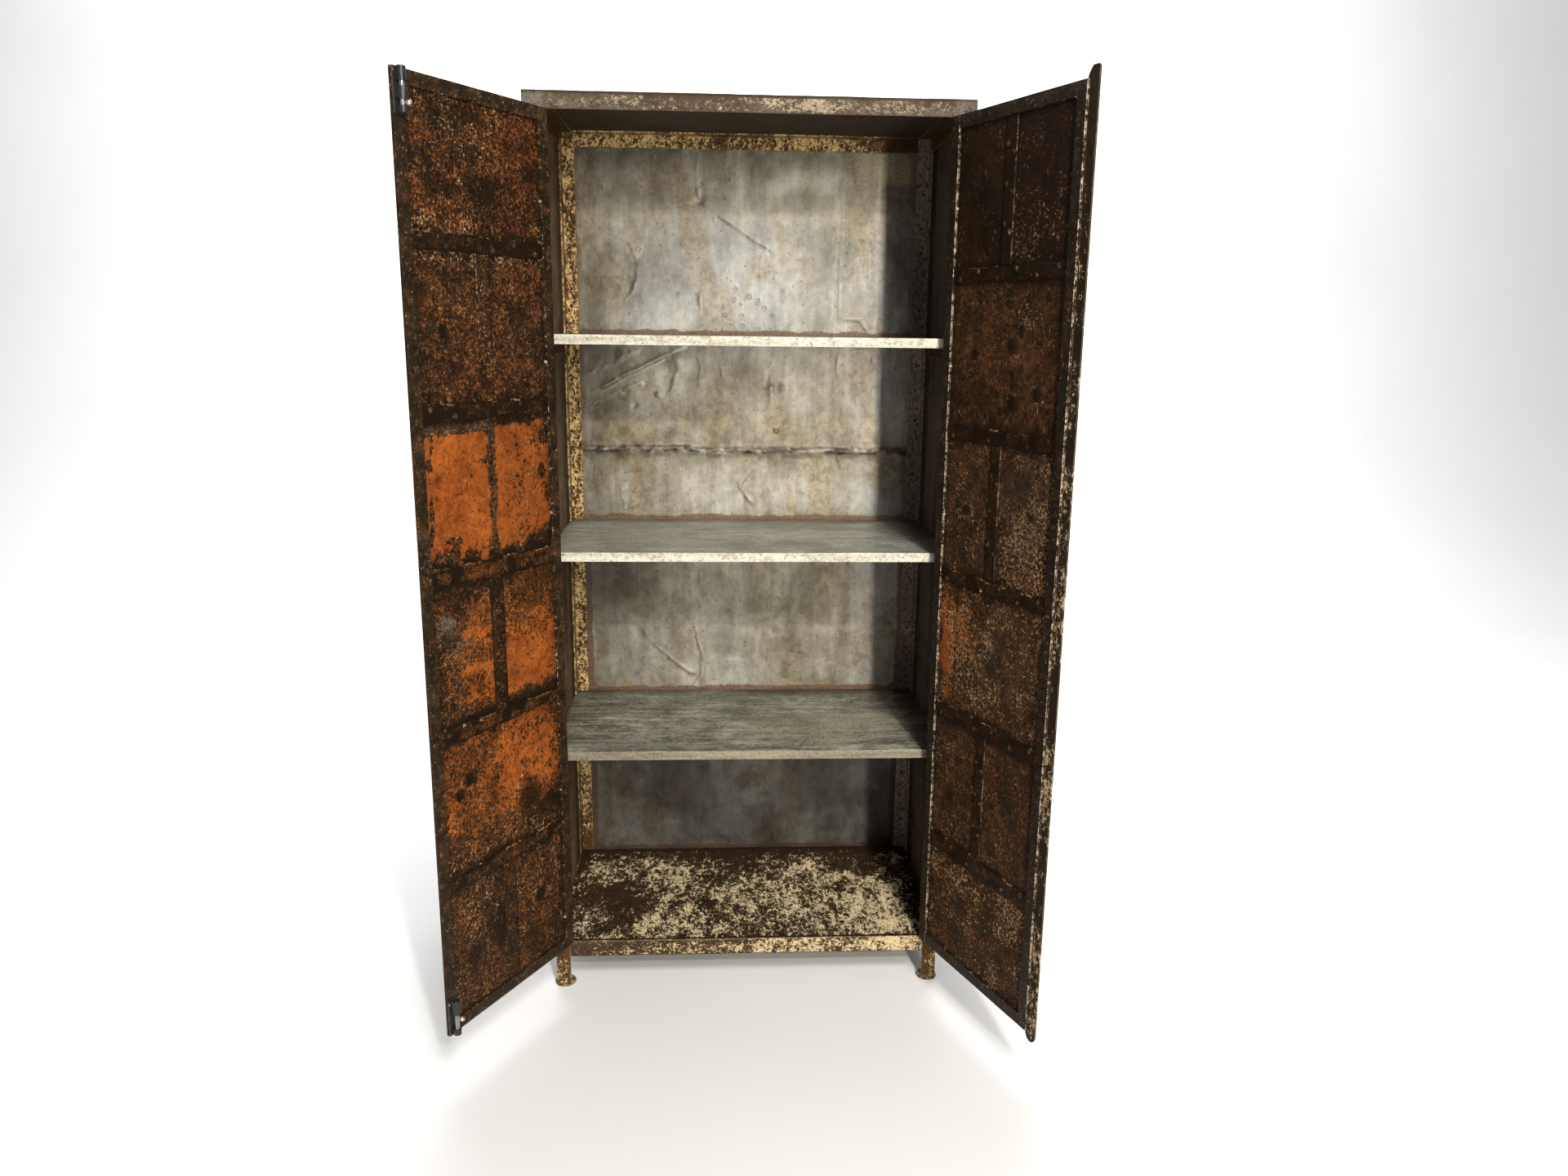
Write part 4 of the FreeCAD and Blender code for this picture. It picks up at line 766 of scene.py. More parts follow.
def rail_masks(v):
    """The front rail keeps its cream paint, most of it low down and to the
    right; the rest are dark."""
    low = step(104, 84, v[:, 2])
    right = step(-150, 200, v[:, 0])
    return np.where(v[:, 1] < -225, -0.17 + 0.28 * low + (0.36 - 0.18 * low) * right + 0.30 * (fbm(v[:, 0], v[:, 2], 110, 22) - 0.5) * 2, -0.10)


# painted shadow: the lowest few millimetres of the bottom rails are painted dark
def bottom_shadow(v):
    return step(75.4, 73.0, v[:, 2])


p = Piece()
angle_bar(p, 0, -400, 400, (-HD, 110.5), (32, -38), 4.0, pitch=8, seed=31, rough=0.5, crm=rail_masks, drk=bottom_shadow)
p.done("vis_bottom_rail_front", RAIL, "carcass", "bottom_rail_front", "post_paint")
p = Piece()
angle_bar(p, 0, -400, 400, (HD, 110.5), (-32, -38), 4.0, seed=33, crm=-0.1, drk=bottom_shadow)
p.done("vis_bottom_rail_rear", POST, "carcass", "bottom_rail_rear", "post_paint")
p = Piece()
for sx in (-1, 1):
    angle_bar(p, 1, -200, 200, (110.5, sx * HW), (-38, -sx * 32), 4.0, seed=35 + sx, crm=-0.1, drk=bottom_shadow)
p.done("vis_bottom_rails_side", POST, "carcass", "bottom_rails_side", "post_paint")

p = Piece()
angle_bar(p, 0, -400, 400, (-HD, 1898.5), (32, -32), 4.0, seed=41, crm=-0.2, drk=0.45)
p.done("vis_top_rail_front", POST, "carcass", "top_rail_front", "post_paint")
p = Piece()


# a dark crack line, and painted shade over the right end of the rail, which lies in shadow
def crack_and_shade(v):
    return 0.9 * np.exp(-((v[:, 0] - 96 - 0.15 * (v[:, 2] - 1880)) / 2.2) ** 2) + 0.5 * step(300, 380, v[:, 0])


angle_bar(p, 0, -400, 400, (HD, 1898.5), (-32, -32), 4.0, seed=43, pitch=8, rough=0.6,
          crm=lambda v: 0.24 - 0.25 * step(60, 330, v[:, 0]) + 0.5 * (fbm(v[:, 0], v[:, 2], 90, 23) - 0.5), drk=crack_and_shade)
p.done("vis_top_rail_rear", POST, "carcass", "top_rail_rear", "post_paint")
p = Piece()
for sx in (-1, 1):
    angle_bar(p, 1, -200, 200, (1898.5, sx * HW), (-32, -sx * 32), 4.0, seed=45 + sx, crm=-0.15, drk=0.3)
p.done("vis_top_rails_side", POST, "carcass", "top_rails_side", "post_paint")


def tray(p, us, vs, top, foot, gauge, bend, sag, lip_wave, masks, corner=0.8, lip_rows=4):
    """Sheet with lips turned down all round, closed shell.  us and vs end at
    the start of the bend."""
    U, W = np.meshgrid(np.asarray(us, float), np.asarray(vs, float), indexing="ij")
    nu, nv = U.shape
    n = nu * nv
    d = sag(U, W)
    idx = np.arange(n).reshape(nu, nv)
    quads = np.stack([idx[:-1, :-1], idx[1:, :-1], idx[1:, 1:], idx[:-1, 1:]], -1).reshape(-1, 4)
    ring = np.concatenate([idx[:-1, 0], idx[-1, :-1], idx[:0:-1, -1], idx[0, :0:-1]])
    bu, bv, bd = U.ravel()[ring], W.ravel()[ring], d.ravel()[ring]
    ou = np.where(bu <= us[0] + 1e-6, -1.0, np.where(bu >= us[-1] - 1e-6, 1.0, 0.0))
    ov = np.where(bv <= vs[0] + 1e-6, -1.0, np.where(bv >= vs[-1] - 1e-6, 1.0, 0.0))
    both = (ou != 0) & (ov != 0)
    ou, ov = np.where(both, ou * corner, ou), np.where(both, ov * corner, ov)
    wave = lip_wave(bu, bv)
    verts = [lay((0, 1, 2), U, W, top + d)]
    rows = []

    def ring_at(out, z, w):
        rows.append(np.stack([bu + ou * (out + w * wave), bv + ov * (out + w * wave), z + 0 * bu], -1))

    for deg in (30, 60, 90):
        a = math.radians(deg)
        ring_at(bend * math.sin(a), top + bd * (1 - deg / 90) - bend * (1 - math.cos(a)), 0.0)
    for w in np.linspace(0, 1, lip_rows + 1)[1:]:
        ring_at(bend, top - bend + w * (foot - top + bend), w)
    ring_at(bend - gauge * 0.5, foot, 1.0)
    for w in np.linspace(1, 0, lip_rows + 1):
        ring_at(bend - gauge, top - bend + w * (foot - top + bend) + (0.25 if w == 1 else 0), w)
    verts += rows
    verts.append(lay((0, 1, 2), U, W, top - gauge + d))
    allv = np.concatenate(verts)
    k = len(ring)
    faces = [quads]
    prev = ring
    for r in range(len(rows)):
        cur = n + r * k + np.arange(k)
        faces.append(np.stack([prev, cur, np.roll(cur, -1), np.roll(prev, -1)], -1))
        prev = cur
    last = n + len(rows) * k
    cur = ring + last
    faces.append(np.stack([prev, cur, np.roll(cur, -1), np.roll(prev, -1)], -1))
    faces.append(quads[:, ::-1] + last)
    p.put(allv, faces, **masks(allv))


def cap_masks(v):
    x, y, z = v[:, 0], v[:, 1], v[:, 2]
    front = (y < -231.0) & (z < 1899.0)
    ends = step(394, 402, np.abs(x) + 3 * (fbm(z, x, 18, 7) - 0.5))
    inside = (np.abs(x) < 438.9) & (y > -232.6) & (y < 237.4) & (z < 1899.2)
    crm = np.where(front, 0.06 + 0.26 * (fbm(x, z, 120, 16) - 0.5) * 2 + 0.10 * step(-40, 200, x) - 0.8 * ends, -0.20 + 0.5 * (fbm(x, y, 210, 18) - 0.5))
    pal = np.where(front, 0.75 * ends + 0.35 * step(0.45, 0.7, fbm(x, z, 130, 17)), 0.30 * step(0.45, 0.7, fbm(x, y, 170, 19)))
    ragged = z + 5.0 * (fbm(x, 0 * x, 46, 20) - 0.5) + 3.0 * (fbm(x, z, 14, 21) - 0.5)
    drk = np.where(front, 0.95 * step(1891, 1897, ragged) + 0.35 * step(1870, 1866, z), 0.0) + np.where(inside, 0.45, 0.0)
    return dict(crm=crm, pal=pal, drk=drk, ed=step(1896.5, 1898.5, z) * (~inside))


p = Piece()
us = np.linspace(-437, 437, 147)
vs = np.linspace(-230.5, 235.5, 79)
tray(p, us, vs, 1899.9, 1866.0, 1.4, 3.0,
     lambda u, v: (-4.5 * fbm(u, v, 260, 51) + 1.2 * (fbm(u, v, 60, 52) - 0.5)) * step(42, 110, np.minimum(440 - np.abs(u), np.minimum(233.5 + v, 238.5 - v)))
     - 0.7 * step(0.40, 0.70, fbm(u + 0.8 * v, v, 64, 55, 3)),
     lambda u, v: np.minimum(1.0 * (fbm(u + 0.7 * v, v, 110, 53) - 0.62) + 0.5 * (fbm(u, v, 26, 54) - 0.6), 0.0), cap_masks, lip_rows=6)
p.done("vis_top_cap", CAP, "carcass", "top_cap", "cap_paint")

# floor sheet, worn in streaks along the front
p = Piece()


def floor_high(u, v):
    return dict(crm=-0.03 + 0.30 * (fbm(u, v, 170, 61) - 0.5) * 2 - 0.24 * blob(u, v, -290, -60, 70, 90, 56, 1.2, 0.9) - 0.26 * blob(u, v, 320, 125, 75, 70, 57, 1.2, 0.9) + 0.10 * blob(u, v, 160, -80, 230, 130, 59, 0.8, 0.8) - 0.30 * step(330, 420, np.abs(u)) * step(80, -150, v) * (u > 0)
                + 0.06 * step(-60, -200, v) - 0.30 * step(130, 225, v),
                drk=0.45 * step(205, 226, v) + 0.25 * step(402, 425, np.abs(u)) + 0.30 * step(-222, -229, v))


plate(p, (0, 1, 2), np.linspace(-427.4, 427.4, 140), np.linspace(-227.4, 227.4, 78), 110.6, 112.0,
      lambda u, v: 0.5 * (fbm(u, v, 200, 62) - 0.5) * step(0, 40, 227 - np.abs(v)), high=floor_high)
plate(p, (0, 1, 2), np.linspace(-399.4, 399.4, 120), np.linspace(-231.8, -226.9, 3), 110.55, 111.9,
      high=lambda u, v: dict(crm=-0.25, drk=0.55))
p.done("vis_floor_sheet", FLOOR, "carcass", "floor_sheet", "floor_paint")

# back sheets: dents, creases and the crumpled lap between the two
CREASES = [
    # (points, height, width, one-sided lift)
    ([(-109, 1866), (-120, 1820), (-117, 1779), (-110, 1751), (-74, 1724), (-36, 1699), (6, 1673), (47, 1648)], 1.5, 4.6, 1.0),
    ([(222, 1785), (229, 1702), (222, 1600), (223, 1496)], 0.9, 4.5, 0.7),
    ([(-270, 1635), (-258, 1610), (-260, 1576), (-271, 1546), (-287, 1525)], 2.2, 6.0, 2.0),
    ([(-113, 1540), (-112, 1497)], 1.6, 3.5, 0.6),
    ([(233, 1488), (274, 1484), (297, 1453)], 2.0, 5.0, 1.0),
    ([(-386, 1300), (-291, 1350), (-187, 1399)], 7.0, 8.0, 4.0),
    ([(-377, 1273), (-319, 1305), (-255, 1332)], 5.0, 7.0, 3.0),
    ([(-382, 1265), (-359, 1283)], 2.0, 5.0, 0.5),
    ([(-344, 1367), (-263, 1410)], 4.5, 7.0, 2.4),
    ([(-179, 1405), (-164, 1368), (-178, 1337)], 2.4, 6.0, 2.6),
    ([(-118, 1395), (-108, 1365), (-116, 1340)], 1.2, 4.5, 0.9),
    ([(-62, 1378), (-58, 1350)], 1.1, 4.5, 0.7),
    ([(58, 1345), (60, 1322), (58, 1308)], 1.4, 4.5, 0.8),
    ([(223, 1403), (221, 1355)], 2.2, 5.0, 1.2),
    ([(253, 1408), (303, 1409), (318, 1373), (300, 1355)], 2.0, 6.0, 1.0),
    ([(-14, 1079), (6, 1113), (29, 1141)], 3.4, 5.5, 2.2),
    ([(-14, 1079), (11, 1043)], 2.4, 5.0, 1.0),
    ([(-14, 1079), (-58, 1066)], 1.8, 6.0, 1.0),
    ([(-306, 1051), (-297, 1014)], 2.0, 5.0, 0.8),
    ([(-297, 1024), (-270, 1033)], 1.6, 5.0, 0.6),
    ([(227, 1156), (237, 1128)], 1.6, 5.0, 0.6),
    ([(-270, 873), (-270, 830)], 1.6, 3.5, 0.5),
    ([(-114, 864), (-114, 835)], 1.6, 4.0, 0.5),
    ([(-255, 701), (-217, 662), (-189, 637), (-138, 597)], 3.0, 6.5, 2.0),
    ([(-125, 696), (-108, 642), (-114, 592), (-131, 564)], 2.4, 5.0, 1.6),
    ([(-71, 587), (-57, 562)], 1.6, 5.0, 0.6),
    ([(330, 520), (352, 500), (372, 505)], 2.0, 6.0, 1.0),
]
BUMPS = [(60, 1322, 9, 2.0), (87, 1322, 8, 1.6), (74, 1218, 4, 2.2), (-270, 1279, 7, -1.8), (-216, 1303, 5, 1.4),
         (-165, 1385, 22, 4.0), (72, 708, 11, -2.0), (-37, 622, 14, 1.0), (-110, 1753, 8, -2.2), (-60, 1585, 30, 1.2),
         (150, 1690, 70, 1.6), (-300, 1720, 80, -1.4), (40, 1240, 120, 1.6), (280, 1250, 60, 1.8), (-300, 1100, 70, 1.4),
         (150, 1080, 60, -1.5), (0, 780, 130, 1.4), (250, 690, 80, 1.0), (-250, 330, 120, 1.2), (180, 300, 120, -1.2)]
PITS = [(-42, 1801), (-53, 1760), (-81, 1711), (-255, 1642), (237, 1611), (287, 1585), (273, 1669), (7, 1537), (-15, 1517),
        (-11, 1493), (-9, 1469), (-40, 1471), (28, 1529), (58, 1461), (63, 1494), (86, 1551), (-25, 1554), (-52, 1493),
        (28, 1583), (-308, 1577), (-377, 1568), (-341, 1779), (30, 1462), (-30, 1530), (44, 1512), (72, 708), (-275, 598),
        (196, 134), (74, 1218), (-216, 1303)]
SHELVES = (1446.0, 998.5, 554.0)


def seam_z(x):
    return 1169 + 4.5 * (fbm(x, 0 * x, 170, 71) - 0.5) * 2 + 2.5 * (fbm(x, 0 * x, 34, 72) - 0.5) * 2


def back_bend(u, v):
    """Towards the front is minus Y."""
    d = 2.4 * (fbm(u, v, 300, 73, 3) - 0.5) + 1.5 * (fbm(u, v, 95, 74, 3) - 0.5) + 0.45 * (fbm(u, v, 30, 75, 2) - 0.5)
    for pts, h, w, lift in CREASES:
        w = max(3.0, 0.62 * w)
        dist, side = line_dist(u, v, pts)
        part = 0.35 + 0.9 * step(0.34, 0.66, fbm(u, v, 34, 58, 3))
        d = d + 0.50 * h * part * np.exp(-(dist / w) ** 2)
        d = d + 0.36 * lift * part * side * (1 - np.exp(-(dist / w) ** 2)) * np.exp(-(dist / (8 * w)) ** 2)
    for cx, cz, r, h in BUMPS:
        d = d + 1.5 * h * np.exp(-(((u - cx) / r) ** 2 + ((v - cz) / r) ** 2))
    for cx, cz in PITS:
        q = np.hypot(u - cx, v - cz)
        d = d + 0.7 * np.exp(-((q - 4.0) / 2.2) ** 2) - 0.9 * np.exp(-(q / 3.0) ** 2)
    zs = seam_z(u)
    near = np.exp(-((v - zs) / 11.0) ** 2)
    d = d + near * (0.9 + 5.6 * fbm(u, v * 1.5, 17, 76, 3) * step(0.30, 0.62, fbm(u, v, 80, 77, 2) + 0.12))
    d = d + 3.2 * np.exp(-((v - zs) / 40.0) ** 2) * (fbm(u, v, 48, 78, 2) - 0.35)
    d = d - 1.1 * step(0, 8, v - zs) * np.exp(-((v - zs) / 36.0) ** 2)
    hold = step(399, 385, np.abs(u)) * step(75, 112, v) * step(1897, 1862, v)
    for s in SHELVES:
        hold = hold * (1 - 0.85 * np.exp(-((v - (s - 8)) / 14.0) ** 2))
    return -np.clip(d, -3.0, 8.5) * hold


def back_masks(u, v):
    drk, lit = np.zeros(u.shape), np.zeros(u.shape)
    ragged = fbm(u, v, 20, 81)
    # each crease gets a painted shadow line on one side (drk) and a painted highlight line on the other (lit); the
    # first also has a dark crack
    for k, (pts, h, w, lift) in enumerate(CREASES):
        dist, side = line_dist(u, v, pts)
        if k == 0:
            low, _ = line_dist(u, v, pts[3:])
            drk = drk + 0.62 * np.exp(-(low / 1.9) ** 2) * step(0.34, 0.56, ragged) + 0.20 * np.exp(-(dist / 2.2) ** 2)
        drk = drk + 0.26 * np.exp(-(((dist - 2.5) * (side < 0) + 20 * (side > 0)) / 2.6) ** 2) * step(0.4, 0.7, ragged)
        lit = lit + 0.26 * np.exp(-(((dist - 2.0) * (side > 0) + 20 * (side < 0)) / 2.8) ** 2) * step(0.3, 0.7, ragged)
    for cx, cz in PITS:
        j = float(cell(np.array([cx * 1.0]), np.array([cz * 1.0]), 5)[0])
        r = 3.4 + 2.4 * j
        d = np.hypot(u - cx, v - cz)
        drk = drk + 0.60 * np.exp(-((d - 0.8 * r) / (0.38 * r)) ** 2)
        lit = lit + 0.25 * np.exp(-(d / (0.4 * r)) ** 2)
    zs = seam_z(u)
    crumple = fbm(u, v * 1.4, 17, 76, 3)
    drk = drk + 0.95 * np.exp(-((v - zs + 2.5) / 3.2) ** 2) * step(0.40, 0.55, fbm(u, v, 26, 82)) + 0.60 * np.exp(-((v - zs - 9) / 2.6) ** 2) * step(0.40, 0.55, fbm(u, v, 40, 67))
    # painted shade in the hollows of the crumpled lap, painted highlight on its tops
    drk = drk + 0.45 * np.exp(-((v - zs) / 9.0) ** 2) * step(0.50, 0.36, crumple) + 0.14 * np.exp(-((v - zs) / 22.0) ** 2)
    lit = lit + 0.30 * np.exp(-((v - zs - 3) / 10.0) ** 2) * step(0.50, 0.66, crumple)
    # rounded zones of bare metal, each with a rusty rim
    rst = np.zeros(u.shape)
    for z0, z1 in ((112, 534), (554, 978.5), (998.5, 1426), (1446, 1866)):
        inside = (v > z0 - 12) & (v < z1 + 12)
        rr = 34.0
        qx = np.abs(u) - (389 - rr)
        qz = np.abs(v - (z0 + z1) / 2) - ((z1 - z0) / 2 - rr)
        sd = np.hypot(np.maximum(qx, 0), np.maximum(qz, 0)) + np.minimum(np.maximum(qx, qz), 0) - rr
        sd = sd + 9 * (fbm(u, v, 40, 83) - 0.5)
        low_zone = 0.9 if z0 < 700 else 0.45
        rst = np.where(inside, np.maximum(rst, low_zone * step(-9, 3, sd)), rst)
        rst = np.where(inside, np.maximum(rst, 0.80 * step(z0 + 19, z0 + 3, v + 12 * (fbm(u, v, 30, 79) - 0.5))), rst)
    rst = rst + 0.55 * np.exp(-((v - zs - 2) / 11.0) ** 2) * step(0.40, 0.60, fbm(u, v, 36, 66))
    # run marks
    for x, top, low in ((66, 883, 782), (86, 883, 757), (110, 883, 748), (138, 883, 859), (-60, 1500, 1455), (-113, 1545, 1495)):
        w = 2.3 + 1.4 * (fbm(v, 0 * v + x, 30, 84) - 0.5)
        rst = rst + 0.48 * np.exp(-((u - x - 2.5 * np.sin(v / 23.0)) / w) ** 2) * step(low - 8, low + 4, v) * step(top + 6, top - 4, v)
    edge_d = np.minimum(u - 205 - 0.5 * (1866 - v) - 26 * (fbm(u, v, 46, 85) - 0.5) * 2, v - 1766 - 40 * (fbm(u, v, 52, 68) - 0.5) * 2 - 0.12 * (u - 250))
    crm = 0.95 * step(-8, 14, edge_d)
    crm = np.maximum(crm, 0.7 * blob(u, v, -388, 1850, 20, 40, 86))
    crm = np.maximum(crm, 0.35 * step(-386, -397, u) * (v > 1440))
    crm = np.maximum(crm, 0.42 * step(1846, 1866, v + 14 * (fbm(u, v, 60, 70) - 0.5)))
    blu = 1.0 * blob(u, v, -10, 1560, 290, 140, 87, 0.7, 0.6) + 0.35 * blob(u, v, -200, 640, 180, 130, 88, 0.6, 0.5)
    blu = blu + 0.75 * step(0, 1, (v < 540)) + 0.25 * blob(u, v, 100, 1050, 260, 60, 89, 0.6, 0.5)
    # painted shade colour: the strip right of u 250, which lies in shadow, is painted bluer
    blu = blu + 0.7 * step(250, 320, u + 40 * (fbm(u, v, 80, 60) - 0.5)) * (v < 1760)
    # darker in random patches and by bay, most in the lowest bay, and towards the left in the bay under the upper shelf
    dim = 0.16 * step(0.48, 0.72, fbm(u, v, 170, 90)) + 0.10 * step(0.5, 0.7, fbm(u, v, 60, 64)) - 0.06
    dim = dim + 0.21 * (v < 985) * (v > 540) + 0.79 * (v < 540) + 0.12 * (v > 1440)
    dim = dim + (0.14 * step(0, -330, u) - 0.10 * step(-60, 160, u)) * (v > 985) * (v < 1440)
    # painted shadow of the cap's front lip across the top of the upper bay
    dim = dim + 0.24 * step(1725, 1768, v) + 0.16 * step(1800, 1860, v)
    # painted shadow edges of the shelf fronts: the upper part of each lower bay is darker, with a lighter strip just
    # below the edge
    for z0, z1, k in ((1239, 1440, 0.09), (726, 985, 0.13), (225, 540, 0.05)):
        dim = dim + k * step(z0 - 5, z0 + 5, v + 3 * (fbm(u, v, 120, 62) - 0.5)) * (v < z1)
        dim = dim - 0.5 * k * step(z0 + 5, z0 - 5, v) * (v > z0 - 0.9 * (z1 - z0))
    # darker towards the left edge; the shaded strip on the right is painted lighter
    dim = dim + (0.30 * step(-250, -392, u) - 0.12 * step(260, 330, u)) * (v > 540)
    dim = dim + 0.12 * blob(u, v, -300, 1415, 120, 40, 63, 0.7, 0.6) + 0.14 * blob(u, v, -390, 1310, 90, 110, 65, 0.6, 0.7)
    dim = dim + 0.22 * blob(u, v, -330, 860, 120, 120, 69, 0.6, 0.7)
    return dict(drk=np.clip(drk, 0, 1), rst=np.clip(rst, 0, 1), crm=crm, blu=np.clip(blu, 0, 1), dim=np.clip(dim, 0, 0.9), lit=np.clip(lit, 0, 1))


def back_outer(u, v):
    return dict(rst=0.35 + 0.5 * (fbm(u, v, 220, 91) - 0.5), drk=0.45 + 0.5 * (fbm(u, v, 260, 92) - 0.5), crm=0.2, blu=0.1)


p = Piece()
zz = np.concatenate([np.arange(72.5, 545, 6.0), np.arange(545, 1140, 3.2), np.arange(1140, 1166, 2.4), [1168.0]])
plate(p, (0, 2, 1), np.linspace(-433, 433, 280), zz, 232.0, 233.2, back_bend, low=back_masks, high=back_outer,
      trim=lambda u, w: (u, np.where(w > 1166, seam_z(u), np.minimum(w, seam_z(u) - 0.2 * (1168 - w)))))
p.done("vis_back_sheet_lower", BACK, "carcass", "back_sheet_lower", "back_bare", angle=60)
p = Piece()
zz = np.concatenate([np.arange(1156, 1200, 2.6), np.arange(1200, 1893, 3.1), [1897.0]])
plate(p, (0, 2, 1), np.linspace(-433, 433, 290), zz, 232.9, 234.1, back_bend, low=back_masks, high=back_outer)
p.done("vis_back_sheet_upper", BACK, "carcass", "back_sheet_upper", "back_bare", angle=60)

for side, sx in (("left", -1), ("right", 1)):
    p = Piece()

    def inner(u, v, s=sx):
        # painted shadow: a dark band just in front of the rear post's flange (u near 176); the right inner face painted
        # darker and greyer as shade
        base = dict(crm=0.0 - 0.15 * (s > 0) + 0.5 * step(0.55, 0.75, fbm(u, v, 160, 95 + s)) * (v < 700),
                    drk=np.clip((0.35 if s > 0 else 0.0) + 1.0 * np.exp(-((u - 176.0) / 22.0) ** 2) * (np.abs(v - 990) < 890)
                                + 0.55 * step(0.52, 0.70, fbm(u, v * 0.06, 46, 195 + s)) + 0.30 * step(0.50, 0.72, fbm(u * 0.3, v, 60, 197 + s)), 0, 1),
                    pal=(0.85 if s > 0 else 0.30 * step(0.40, 0.60, fbm(u, v * 0.12, 80, 199))) + 0 * u)
        return base

    def outer_face(u, v, s=sx):
        return dict(crm=0.22 + 0.45 * (fbm(u, v, 240, 97 + s) - 0.5) * 2, drk=0.25 * step(0.55, 0.75, fbm(u, v, 200, 98 + s))
                    + 0.35 * step(180, 80, v), pal=0.4 * step(0.6, 0.75, fbm(u, v, 120, 99 + s)))

    def ripple(u, v, s=sx):
        hold = step(232, 205, np.abs(u)) * step(72, 130, v) * step(1897, 1850, v)
        return hold * s * (2.6 * (fbm(u, v, 260, 93 + s, 3) - 0.45) + 0.8 * (fbm(u, v, 60, 94 + s, 3) - 0.5))

    faces = dict(low=outer_face, high=inner) if sx < 0 else dict(low=inner, high=outer_face)
    plate(p, (1, 2, 0), np.linspace(-231.8, 231.8, 110), np.linspace(72.5, 1897.5, 240),
          min(sx * 432, sx * 433.2), max(sx * 432, sx * 433.2), ripple, **faces)
    p.done("vis_side_sheet_%s" % side, SIDE, "carcass", "side_sheet_%s" % side, "side_skin", angle=60)

# shelves
for k, (tag, top) in enumerate((("upper", 1446.0), ("middle", 998.5), ("lower", 554.0))):
    p = Piece()

    def shelf_masks(v, kk=k):
        x, y, z = v[:, 0], v[:, 1], v[:, 2]
        t = SHELVES[kk]
        lip = step(-208.6, -209.6, y)
        drk = (0.45 * step(150, 222, y) + 0.22 * step(0.50, 0.66, fbm(x, y, 120, 109 + kk)) + 0.20 * step(-60, 190, y)) * (z > t - 3) + 0.9 * (z < t - 1.2) * (y > -208.4)
        # the right end of each shelf (x above 360), which lies in shadow, is painted darker as shade
        drk = drk + 0.5 * step(360, 425, x) * (z > t - 3) + 0.2 * step(-380, -425, x) * (z > t - 3)
        crm = (0.45 * blob(x, y, 190, -60, 210, 110, 105, 0.6, 0.7) + 0.25 if kk == 2 else 0.10 + 0.0 * x)
        return dict(lip=lip, lgt=1.0 if kk == 1 else 0.0, old=1.0 if kk == 2 else 0.0, drk=np.clip(drk, 0, 1), crm=crm, ed=0.0)

    us = np.concatenate([np.linspace(-425, 425, 170)])
    vs = np.linspace(-208, 225, 88)
    tray(p, us, vs, top, top - 20.0, 1.4, 2.0,
         lambda u, v, kk=k: -1.1 * fbm(u, v, 260, 101 + kk) * step(0, 60, 425 - np.abs(u)) + 0.25 * (fbm(u, v, 50, 104 + kk) - 0.5),
         lambda u, v, kk=k: 0.8 * (fbm(u + 0.5 * v, v, 150, 107 + kk) - 0.55), shelf_masks)
    for sx in (-1, 1):
        plate(p, (0, 1, 2), np.linspace(sx * 426.5 if sx > 0 else -431, 431 if sx > 0 else -426.5, 3), np.linspace(-199, 199, 40),
              top - 1.6, top - 0.4, high=lambda u, v: dict(drk=0.6))
        plate(p, (1, 2, 0), np.linspace(-199, 199, 40), np.linspace(top - 20, top - 1.5, 3),
              min(sx * 429.6, sx * 431), max(sx * 429.6, sx * 431), high=lambda u, v: dict(drk=0.8), low=lambda u, v: dict(drk=0.8))
    p.done("vis_shelf_%s" % tag, SHELF, "carcass", "shelf_%s" % tag, "shelf_zinc")

p = Piece()
for top in SHELVES:
    for sx in (-1, 1):
        angle_bar(p, 1, -195, 195, (top - 20, sx * HW), (-25, -sx * 25), 3.0, seed=int(top) + sx, crm=-0.2, drk=0.4)
p.done("vis_shelf_cleats", POST, "carcass", "shelf_cleats", "post_paint")

# carcass rivets
HINGES = (330.0, 985.0, 1640.0)
p = Piece()
count = 0


def head(p, at, out, rh=4.5, rise=2.3, **m):
    global count
    count += 1
    j = float(cell(np.array([count * 1.0]), np.array([3.0]), 9)[0])
    dome(p, at, out, rh * (0.93 + 0.14 * j), rise * (0.85 + 0.25 * j), seed=count, ed=0.0,
         wear=m.pop("wear", 0.15 + 0.25 * j), **m)


for sx in (-1, 1):
    for sy in (-1, 1):
        for k in range(13):
            head(p, (sx * 433.2, sy * 216, 150 + k * 140.0), (sx, 0, 0))
            dome(p, (sx * 428, sy * 216, 150 + k * 140.0), (-sx, 0, 0), 3.4, 0.5, seed=k, ed=0.0, wear=0.1)
    for k in range(13):
        head(p, (sx * 416, 233.2, 190 + k * 132.0), (0, 1, 0))
        dome(p, (sx * 416, 228, 190 + k * 132.0), (0, -1, 0), 3.4, 0.5, seed=k, ed=0.0, wear=0.1)
    for y in (-130, 0, 130):
        for z in (91.5, 1881.5):
            head(p, (sx * 433.2, y, z), (sx, 0, 0))
        for top in SHELVES:
            head(p, (sx * 433.2, y, top - 35), (sx, 0, 0))
    for level in HINGES:
        for dz in (-32, 0, 32):
            head(p, (sx * 413.0, -234, level + dz), (0, -1, 0))
for x in (-300, -150, 0, 150, 300):
    for z in (91.5, 1881.5):
        head(p, (x, 233.2, z), (0, 1, 0))
p.done("vis_carcass_rivets", RIVET, "carcass", "carcass_rivets", "rivet_iron")

